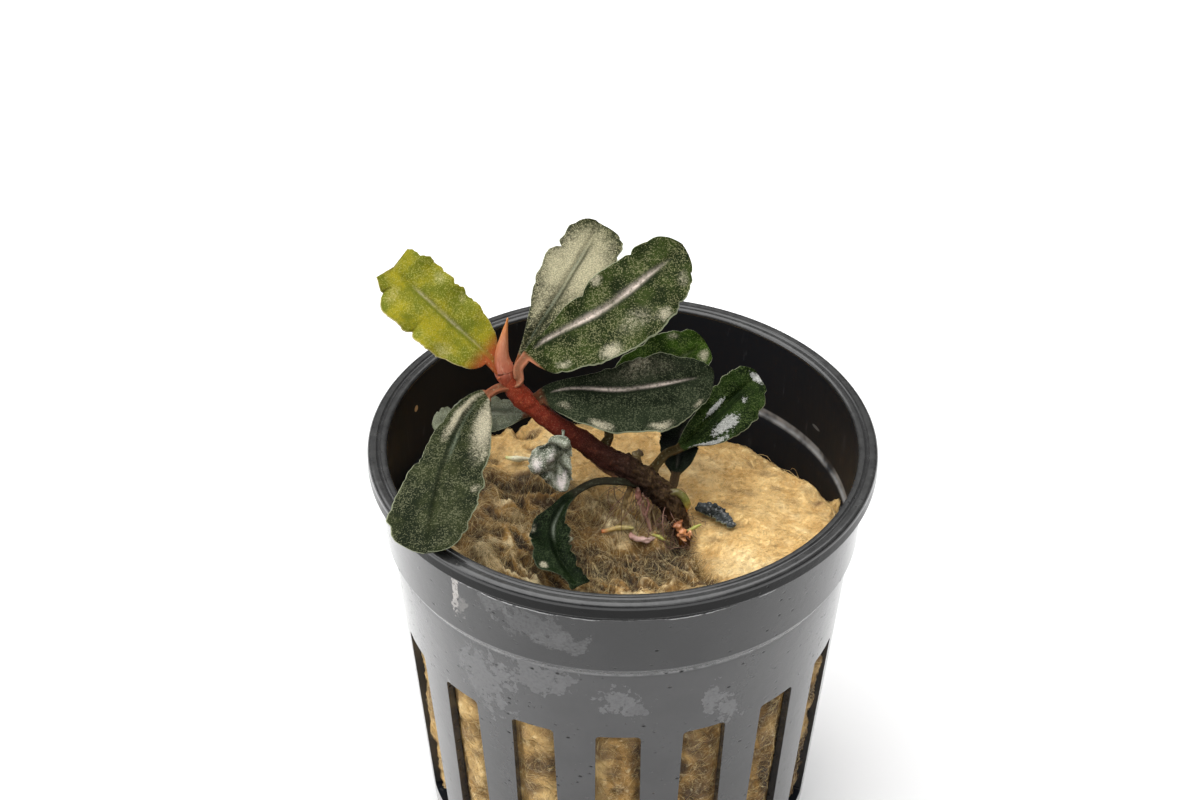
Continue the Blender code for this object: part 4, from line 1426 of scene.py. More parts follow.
    def select_slot_edges(self, mesh: bpy.types.Mesh) -> None:
        """Selects the edges where the slots' sides meet the wall's inner and outer face."""
        normals = {}
        for face in mesh.polygons:
            for key in face.edge_keys:
                normals.setdefault(key, []).append(face.normal)
        low = (self.slot_bottom - 0.2) * MM
        high = (self.slot_top + 0.2) * MM
        for edge in mesh.edges:
            first, second = (mesh.vertices[index].co for index in edge.vertices)
            sides = normals.get(edge.key, [])
            if len(sides) == 2 and low < first.z < high and low < second.z < high:
                edge.select = sides[0].angle(sides[1], 0.0) > math.radians(self.SHARP_DEG)

    def dress(self, effects: Effects) -> Material:
        """Glossy black plastic with a worn, dusty rim, a dull residue layer, smears and pits, and painted
        light: shadow under the lip, reflection below the shoulder and a highlight along it.
        """
        material, tree, shader = new_finish("pot_plastic")
        place = tree.place()
        broad = tree.noise(place, 6.0, 4.0)
        middle = tree.noise(place, 1.3, 5.0, 0.65)
        fine = tree.noise(place, 0.35, 3.0)
        level = tree.split(place)["Z"]
        top = self.height
        shoulder = self.shoulder[1]
        wander = tree.plus(level, tree.times(broad, 1.2))
        # A lighter layer below the shoulder: partly a dull residue, partly a painted reflection of the bright
        # floor.
        film_and_reflection = tree.times(tree.step(level, shoulder + 1.0, shoulder - 0.6),
                          tree.step(broad, 0.3, 0.7, 0.75, 1.0))
        # The black band round the lip and just under it: partly uncovered plastic, partly painted shadow
        # under the lip.
        bare_and_shadowed = tree.times(tree.step(wander, top - 2.55, top - 2.45), tree.step(level, top - 0.55, top - 0.75))
        dust = tree.times(tree.step(level, top - 0.35, top - 0.1, 0.0, 0.8),
                          tree.step(middle, 0.3, 0.7, 0.5, 1.0))
        broken = tree.times(tree.step(middle, 0.38, 0.50), tree.step(broad, 0.46, 0.54, 0.15, 1.0))
        lip_line = tree.times(tree.step(wander, top - 2.43, top - 2.50),
                              tree.step(wander, top - 2.66, top - 2.56), broken)
        off_shoulder = tree.maths("ABSOLUTE", tree.maths("SUBTRACT", level, shoulder + 0.10))
        # A painted highlight along the shoulder; the pale line under the lip is the raised edge of the
        # residue.
        shoulder_highlight = tree.times(tree.step(off_shoulder, 0.26, 0.02),
                                   tree.step(middle, 0.3, 0.6, 0.10, 0.34))
        colour = tree.over(
            tree.mix(tree.step(broad, 0.35, 0.7), (0.007, 0.007, 0.0075), (0.014, 0.014, 0.0145)),
            (film_and_reflection, (0.040, 0.040, 0.041)),
            (bare_and_shadowed, self.BLACK),
            (dust, (0.055, 0.055, 0.054)),
            (tree.maths("MAXIMUM", lip_line, shoulder_highlight), (0.36, 0.36, 0.36)),
        )
        dull = tree.step(middle, 0.52, 0.75, 0.0, 0.30)
        for smear in self.smears:
            mask = smear.mask(tree, effects, place, middle)
            mask = tree.times(mask, tree.step(fine, 0.25, 0.6, 0.4, 1.0), smear.strength)
            colour = tree.mix(mask, colour, smear.colour)
            dull = tree.maths("MAXIMUM", dull, mask)
        pits = tree.group(effects.specks, Place=tree.place((1.0, 1.0, 1.6)), Size=1.3, Cover=0.22)
        small = tree.group(effects.specks, Place=place, Size=0.8, Cover=0.20)
        pitted = tree.maths(
            "MAXIMUM",
            tree.times(pits.outputs["Mask"], tree.step(broad, 0.44, 0.56),
                       tree.step(level, top - 2.6, top - 3.0)),
            tree.times(small.outputs["Mask"], tree.step(broad, 0.52, 0.62, 0.0, 0.7)),
        )
        filmed = tree.times(tree.step(bare_and_shadowed, 0.0, 1.0, 1.0, 0.0), tree.step(pitted, 0.0, 1.0, 1.0, 0.2))
        tree.fill(
            shader,
            Base_Color=tree.mix(pitted, colour, self.BLACK),
            Roughness=tree.step(dull, 0.0, 0.8, 0.22, 0.55),
            Specular_IOR_Level=0.18,
            Coat_Weight=tree.times(filmed, tree.step(dull, 0.0, 0.8, 0.90, 0.80)),
            Coat_Roughness=0.25,
            Coat_IOR=1.45,
        )
        height = tree.plus(tree.times(middle, 0.6), tree.times(broad, 2.0), tree.times(dull, 0.8))
        height = tree.maths("SUBTRACT", height, tree.times(pitted, 2.0))
        bump(tree, shader, height, 0.07, 0.5)
        return material

    def dress_inside(self, effects: Effects) -> Material:
        """The dull black of the pot's inside, with scuffs, flaked bits, grey streaks of painted highlight and
        a painted highlight along the ledge.
        """
        material, tree, shader = new_finish("pot_inside")
        place = tree.place()
        streaks = tree.noise(tree.place((1.0, 1.0, 0.25)), 1.2, 4.0, 0.65)
        broad = tree.noise(place, 5.0, 3.0)
        scuffs = tree.times(tree.step(streaks, 0.60, 0.78), tree.step(broad, 0.45, 0.7))
        colour = tree.mix(tree.times(scuffs, 0.5), (0.0075, 0.0090, 0.0125), (0.17, 0.17, 0.18))
        for flake in self.flakes_and_glints:
            mask = tree.times(flake.mask(tree, effects, place, broad), flake.strength)
            colour = tree.mix(mask, colour, flake.colour)
        spot = tree.split(place)
        ledge = self.ledge_height
        # A painted highlight along the ledge.
        lit = tree.times(
            tree.step(spot["Z"], ledge - 0.4, ledge),
            tree.step(spot["Z"], ledge + 0.9, ledge + 0.6),
            tree.step(broad, 0.40, 0.56, 0.1, 1.0),
            tree.step(spot["X"], 6.0, 18.0),
        )
        colour = tree.mix(lit, colour, (0.24, 0.24, 0.24))
        rough = tree.step(scuffs, 0.0, 0.6, 0.42, 0.60)
        tree.fill(shader, Base_Color=colour, Roughness=rough, Specular_IOR_Level=0.07)
        bump(tree, shader, tree.plus(streaks, broad), 0.06, 0.4)
        return material

    def build(self, effects: Effects) -> None:
        """Makes the pot."""
        shell = self.turn_shell()
        self.cut_slots(shell)
        make_active(shell)
        bpy.ops.object.shade_smooth_by_angle(angle=math.radians(self.SMOOTH_DEG))
        even = shell.modifiers.new("even_shading", "WEIGHTED_NORMAL")
        even.keep_sharp = True
        bpy.ops.object.modifier_apply(modifier=even.name)
        shell.data.materials.append(self.dress(effects))
        shell.data.materials.append(self.dress_inside(effects))
        for face in shell.data.polygons:
            middle = face.center / MM
            reach = math.hypot(middle.x, middle.y)
            above = middle.z > self.ledge_height
            limit = self.mouth_radius + 0.1 if above else float(self.inner_radius(middle.z)) + 0.5
            if reach < limit and self.base - 0.1 < middle.z < self.height - 0.6:
                face.material_index = 1
        hand_over(shell, Slot.POT, "pot")


def fibre_mesh(name: str, lines: Array, radii: Array,
               values: dict[str, Array], material: Material) -> Piece:
    """Joins many fine three-sided fibres to one mesh.

    Args:
        name: The piece's name.
        lines: The fibres' middle lines in mm, of shape (fibres, stations, 3).
        radii: One radius in mm for each fibre.
        values: For each attribute, one number for each fibre.
        material: The fibres' finish.

    Returns:
        The piece.
    """
    count, stations = lines.shape[:2]
    axis = unit(np.gradient(lines, axis=1))
    side = unit(np.cross(axis, (0.31, 0.22, 0.92)))
    other = np.cross(axis, side)
    taper = np.full(stations, 1.0)
    taper[0] = taper[-1] = 0.35
    turns = math.tau * np.arange(3) / 3
    reach = radii[:, None, None, None] * taper[None, :, None, None]
    rings = lines[:, :, None] + reach * (
        side[:, :, None] * np.cos(turns)[:, None] + other[:, :, None] * np.sin(turns)[:, None]
    )
    points = (rings.reshape(-1, 3) * MM).astype(np.float32)
    corner = np.arange(3)
    ring = np.arange(stations - 1)[:, None] * 3
    after = (corner + 1) % 3
    quads = np.stack([ring + corner, ring + after, ring + 3 + after, ring + 3 + corner], axis=-1)
    quads = quads.reshape(-1, 4)
    top = (stations - 1) * 3
    caps = np.array([[2, 1, 0], [top, top + 1, top + 2]])
    loops = np.concatenate([quads.ravel(), caps.ravel()])
    sizes = np.concatenate([np.full(len(quads), 4), np.full(2, 3)])
    first = np.arange(count)[:, None] * stations * 3
    all_loops = (first + loops[None]).ravel().astype(np.int32)
    all_sizes = np.tile(sizes, count)
    starts = np.concatenate([[0], np.cumsum(all_sizes)[:-1]]).astype(np.int32)
    mesh = bpy.data.meshes.new(name)
    mesh.vertices.add(len(points))
    mesh.vertices.foreach_set("co", points.ravel())
    mesh.loops.add(len(all_loops))
    mesh.loops.foreach_set("vertex_index", all_loops)
    mesh.polygons.add(len(all_sizes))
    mesh.polygons.foreach_set("loop_start", starts)
    mesh.update(calc_edges=True)
    mesh.validate()
    for label, numbers in values.items():
        attribute = mesh.attributes.new(label, "FLOAT", "POINT")
        attribute.data.foreach_set("value", np.repeat(numbers, stations * 3).astype(np.float32))
    mesh.shade_smooth()
    mesh.materials.append(material)
    piece = bpy.data.objects.new(name, mesh)
    bpy.context.scene.collection.objects.link(piece)
    return piece


@dataclass(frozen=True)
class Nap:
    """One crowd of loose fibres on the wool."""

    name: str
    count: int
    stations: int
    length: tuple[float, float]
    radius: tuple[float, float]
    curl: float
    lift: float
    seed: int
    brown: tuple[float, float]
    comb: float = 0.0

    TOP_MARGIN = 0.15
    SIDE_MARGIN = 0.1
    STAND_OFF = 0.06

    def build(self, plug: Plug, pot: Pot, material: Material) -> None:
        """Scatters the fibres over the wool's top.

        Args:
            plug: The wool.
            pot: The pot round it.
            material: The fibres' finish.
        """
        draw = np.random.default_rng(self.seed)
        wanted = []
        found = 0
        while found < self.count:
            reach = pot.ledge_radius * np.sqrt(draw.uniform(0, 1, self.count))
            turn = draw.uniform(0, math.tau, self.count)
            spot = np.stack([reach * np.cos(turn), reach * np.sin(turn)], axis=-1)
            brown = plug.brown(spot[:, 0], spot[:, 1])
            keep = (brown >= self.brown[0]) & (brown <= self.brown[1])
            wanted.append(spot[keep])
            found += int(keep.sum())
        start = np.concatenate(wanted)[: self.count]
        length = draw.uniform(*self.length, self.count)
        way = draw.uniform(0, math.tau, self.count) * (1 - self.comb)
        way = way + self.comb * (1.6 * Ripples(46, 7.0, axes=2).at(start) - 0.7)
        bend = draw.normal(0, self.curl, (self.count, self.stations)).cumsum(axis=1) * 0.5
        bend = bend + draw.normal(0, self.curl, (self.count, 1)) * np.linspace(0, 1, self.stations) * 2
        angle = way[:, None] + bend
        step = length[:, None] / (self.stations - 1)
        x = start[:, :1] + np.cumsum(np.cos(angle) * step, axis=1)
        y = start[:, 1:] + np.cumsum(np.sin(angle) * step, axis=1)
        shrink = np.minimum(1.0, (pot.ledge_radius - self.TOP_MARGIN) / np.maximum(np.hypot(x, y), 1e-6))
        x, y = x * shrink, y * shrink
        z = plug.height(x, y)
        rise = draw.uniform(0.0, 1.0, (self.count, 1)) ** 2 * self.lift
        share = np.linspace(0, 1, self.stations)
        z = z + self.STAND_OFF + rise * np.sin(share * math.pi * draw.uniform(0.6, 1.1, (self.count, 1)))
        shrink = np.minimum(1.0, (pot.inner_radius(z) - self.SIDE_MARGIN) / np.maximum(np.hypot(x, y), 1e-6))
        lines = np.stack([x * shrink, y * shrink, z], axis=-1)
        radius = draw.uniform(*self.radius, self.count)
        middle = (x.mean(axis=1), y.mean(axis=1))
        tint = draw.uniform(0, 1, self.count)
        values = {"tint": tint, "brown": plug.brown(*middle), "shade": plug.shade(*middle)}
        hand_over(fibre_mesh(self.name, lines, radius, values, material), Slot.WOOL)


@dataclass(frozen=True)
class SlotNap:
    """The fibres that show on the wool's side in the slots."""

    per_slot: int = 600
    stations: int = 4
    length: tuple[float, float] = (0.8, 2.6)
    radius: tuple[float, float] = (0.012, 0.025)
    seed: int = 77

    EDGE_GAP = 0.2

    def build(self, plug: Plug, pot: Pot, material: Material) -> None:
        """Scatters the fibres over the wool's side behind every slot."""
        draw = np.random.default_rng(self.seed)
        count = self.per_slot * pot.slot_count
        slot = np.repeat(np.arange(pot.slot_count), self.per_slot)
        turn = math.radians(pot.slot_turn_deg) + math.tau * slot / pot.slot_count
        across = draw.uniform(-0.5, 0.5, count) * (pot.slot_width - 0.5)
        z = draw.uniform(pot.slot_bottom + 0.3, pot.slot_top - 0.5, count)
        way = draw.normal(0, 0.8, (count, 1)) + draw.normal(0, 0.35, (count, self.stations)).cumsum(axis=1)
        step = draw.uniform(*self.length, (count, 1)) / (self.stations - 1)
        across = across[:, None] + np.cumsum(np.cos(way) * step, axis=1) - 0.7
        z = z[:, None] + np.cumsum(np.sin(way) * step, axis=1)
        half = pot.slot_width / 2 - self.EDGE_GAP
        across = np.clip(across, -half, half)
        z = np.clip(z, pot.slot_bottom + self.EDGE_GAP, pot.slot_top - self.EDGE_GAP)
        reach = pot.inner_radius(z)
        angle = turn[:, None] + across / reach
        reach = reach - plug.gap + plug.bulge(pot, angle, z) + draw.uniform(0.0, 0.12, (count, 1))
        lines = round_axis(reach, angle, z)
        radius = draw.uniform(*self.radius, count)
        values = {"tint": draw.uniform(0, 1, count), "shade": draw.uniform(-0.4, 0.6, count),
                  "brown": np.clip(plug.matted_and_shaded(lines[:, 1]) + draw.uniform(-0.25, 0.25, count), 0.0, 1.0)}
        hand_over(fibre_mesh("wool_nap_slots", lines, radius, values, material), Slot.WOOL)


@dataclass(frozen=True)
class Thread:
    """A root or a shoot. Where a point has two numbers only, it lies on the wool there."""

    name: str
    points: tuple[Point, ...]
    radii: Numbers
    slot: Slot
    stops: Stops
    nodes: tuple[str, ...] = ()
    knots: float = 0.12

    CLEARANCE = 0.85
    STATIONS = 40
    SIDES = 16

    def relief(self, share: Array, turn: Array) -> Array:
        """Shallow knots along the thread."""
        return self.knots * self.radii[0] * Ripples(61, 2.4).at(on_tube(9, 1.0, share, turn))

    def build(self, plug: Plug) -> None:
        """Makes the thread.

        Args:
            plug: The wool, whose plain solid's height places the points that lie on it.
        """
        spots = []
        for point in self.points:
            if len(point) == 2:
                level = float(plug.plain_height(np.array([point[0]]), np.array([point[1]]))[0])
                point = (*point, level + self.CLEARANCE)
            spots.append(point)
        made = tube(self.name, Route(tuple(spots)), self.radii, self.STATIONS, self.SIDES, self.relief)
        material, tree, shader = new_finish(self.name)
        fine = tree.noise(tree.place(), 0.25, 3.0)
        colour = tree.over(tree.ramp(tree.attribute("share"), self.stops),
                           (tree.step(fine, 0.5, 0.25, 0.0, 0.5), (0.16, 0.07, 0.035)),
                           (tree.step(fine, 0.55, 0.8, 0.0, 0.45), (0.80, 0.62, 0.46)))
        tree.fill(shader, Base_Color=colour, Roughness=0.4)
        bump(tree, shader, fine, 0.05, 0.5)
        made.data.materials.append(material)
        hand_over(made, self.slot, *self.nodes)


ROOT_STOPS = ((0.0, (0.09, 0.035, 0.020)), (0.25, (0.34, 0.15, 0.12)), (1.0, (0.42, 0.24, 0.19)))
OLIVE_STOPS = ((0.0, (0.08, 0.045, 0.018)), (0.3, (0.26, 0.18, 0.075)), (1.0, (0.36, 0.26, 0.12)))
SPROUT_STOPS = ((0.0, (0.09, 0.06, 0.025)), (0.55, (0.17, 0.18, 0.035)), (0.80, (0.36, 0.26, 0.04)),
                (1.0, (0.78, 0.20, 0.03)))
FOOT_STOPS = ((0.0, (0.30, 0.10, 0.035)), (0.5, (0.72, 0.30, 0.12)), (1.0, (0.80, 0.42, 0.20)))
GREEN_STOPS = ((0.0, (0.36, 0.30, 0.08)), (0.5, (0.40, 0.42, 0.08)), (1.0, (0.48, 0.50, 0.12)))

THREADS = (
    Thread("root_left", ((1.0, -4.9, 48.2), (0.6, -4.9, 46.9), (0.3, -4.8, 45.3), (-0.2, -5.4)),
           (0.36, 0.30, 0.26, 0.16), Slot.ROOT, OLIVE_STOPS, ("root_1",), knots=0.3),
    Thread("root_middle", ((1.5, -5.1, 48.0), (1.7, -5.3, 46.9), (2.1, -5.3, 45.6), (2.9, -5.4)),
           (0.30, 0.34, 0.30, 0.20), Slot.ROOT, ROOT_STOPS, ("root_2",), knots=0.35),
    Thread("root_back", ((3.4, -5.1, 47.2), (3.7, -5.2, 45.9), (3.3, -5.2, 44.6), (3.9, -5.0)),
           (0.34, 0.30, 0.24, 0.16), Slot.ROOT, OLIVE_STOPS, ("root_3",), knots=0.3),
    Thread("root_thin", ((2.2, -5.3, 47.3), (2.9, -5.6, 46.0), (2.6, -5.7, 44.6), (3.2, -6.4)),
           (0.20, 0.16, 0.14, 0.10), Slot.ROOT, ROOT_STOPS, knots=0.3),
    Thread("root_lying", ((0.8, -6.7), (1.7, -7.3), (2.9, -7.6), (3.6, -7.4)), (0.18, 0.34, 0.26, 0.10),
           Slot.ROOT, ((0.0, (0.36, 0.18, 0.14)), (0.5, (0.52, 0.34, 0.29)), (1.0, (0.40, 0.26, 0.20))),
           knots=0.4),
    Thread("yellow_shoot", ((-2.2, -5.9), (-0.4, -5.8), (1.3, -6.0)), (0.18, 0.30, 0.16), Slot.SHOOT,
           ((0.0, (0.55, 0.14, 0.03)), (0.22, (0.52, 0.34, 0.11)), (1.0, (0.40, 0.35, 0.12))),
           ("shoot_yellow",)),
    Thread("green_shoot", ((7.0, -6.8, 43.2), (7.8, -6.4, 43.4), (8.5, -6.0, 43.5)), (0.16, 0.20, 0.06),
           Slot.SHOOT, GREEN_STOPS, ("shoot_green",)),
    Thread("bit_green", ((3.2, -6.9), (4.0, -7.3), (4.6, -7.5)), (0.10, 0.24, 0.10), Slot.SHOOT, GREEN_STOPS),
    Thread("white_sprout", ((-12.8, 6.1), (-11.6, 5.6), (-10.1, 5.5)), (0.14, 0.36, 0.14), Slot.SHOOT,
           ((0.0, (0.58, 0.60, 0.20)), (0.4, (0.80, 0.76, 0.52)), (1.0, (0.72, 0.66, 0.44))),
           ("sprout_white",)),
    Thread("sprout_low", ((4.9, -5.3, 47.3), (5.9, -5.3, 47.3), (6.6, -5.4, 46.6), (6.95, -5.5, 45.8),
                          (6.8, -5.6, 44.9)), (0.30, 0.42, 0.44, 0.38, 0.08), Slot.SHOOT, SPROUT_STOPS),
    Thread("sprout_foot", ((5.9, -7.0, 44.6), (6.4, -7.4, 43.5), (6.7, -7.5, 42.4)), (0.34, 0.44, 0.16),
           Slot.SHOOT, FOOT_STOPS, knots=0.5),
    Thread("sprout_foot_side", ((6.4, -7.2, 43.4), (7.1, -7.3, 43.1), (7.5, -7.5, 43.5)), (0.30, 0.24, 0.08),
           Slot.SHOOT, FOOT_STOPS, knots=0.5),
    Thread("side_bud", ((1.3, -3.7, 50.1), (1.5, -3.3, 50.7), (2.1, -3.0, 50.9)), (0.6, 0.55, 0.25),
           Slot.SHOOT, ((0.0, (0.07, 0.035, 0.018)), (0.5, (0.17, 0.125, 0.045)), (1.0, (0.08, 0.05, 0.03)))),
)


@dataclass(frozen=True)
class RootHairs:
    """The fine roots that hang from the stem's underside into the wool."""

    count: int = 130
    stations: int = 14
    seed: int = 91
    along: tuple[float, float] = (0.9, 5.2)
    radius: tuple[float, float] = (0.02, 0.055)

    def build(self, stem: Stem, plug: Plug) -> None:
        """Makes the roots as one piece."""
        draw = np.random.default_rng(self.seed)
        start = stem.route.at(draw.uniform(*self.along, self.count)) + draw.normal(0, 0.3, (self.count, 3))
        end = start + np.stack([draw.normal(-0.5, 2.2, self.count), draw.normal(-0.3, 1.8, self.count),
                                np.zeros(self.count)], axis=-1)
        end[:, 2] = plug.height(end[:, 0], end[:, 1]) + draw.uniform(-0.2, 0.2, self.count)
        share = np.linspace(0, 1, self.stations)[None, :, None]
        sag = np.sin(share * math.pi) * draw.normal(0, 0.7, (self.count, 1, 3))
        sag = sag + np.sin(share * math.tau * 1.5) * draw.normal(0, 0.35, (self.count, 1, 3))
        lines = start[:, None] * (1 - share) + end[:, None] * share + sag
        floor = plug.height(lines[..., 0], lines[..., 1]) - 0.1
        lines[..., 2] = np.maximum(lines[..., 2], floor)
        material, tree, shader = new_finish("root_hair")
        colour = tree.ramp(tree.attribute("tint"), (
            (0.0, (0.10, 0.055, 0.030)), (0.4, (0.32, 0.17, 0.13)), (0.7, (0.30, 0.22, 0.09)),
            (1.0, (0.52, 0.40, 0.24)),
        ))
        tree.fill(shader, Base_Color=colour, Roughness=0.45)
        radii = draw.uniform(*self.radius, self.count)
        hairs = fibre_mesh("root_hairs", lines, radii, {"tint": draw.uniform(0, 1, self.count)}, material)
        hand_over(hairs, Slot.ROOT)


DARK = LeafFinish("leaf_dark", (0.022, 0.034, 0.013), (0.0050, 0.010, 0.0040), (0.170, 0.175, 0.105),
                  (0.46, 0.42, 0.30), (0.66, 0.56, 0.49), (0.28, 0.30, 0.19), (0.030, 0.034, 0.014),
                  (0.17, 0.060, 0.028))


def like_dark(name: str, **changes: object) -> LeafFinish:
    """A leaf finish that differs from the dark one in a few values only."""
    return replace(DARK, name=name, **changes)


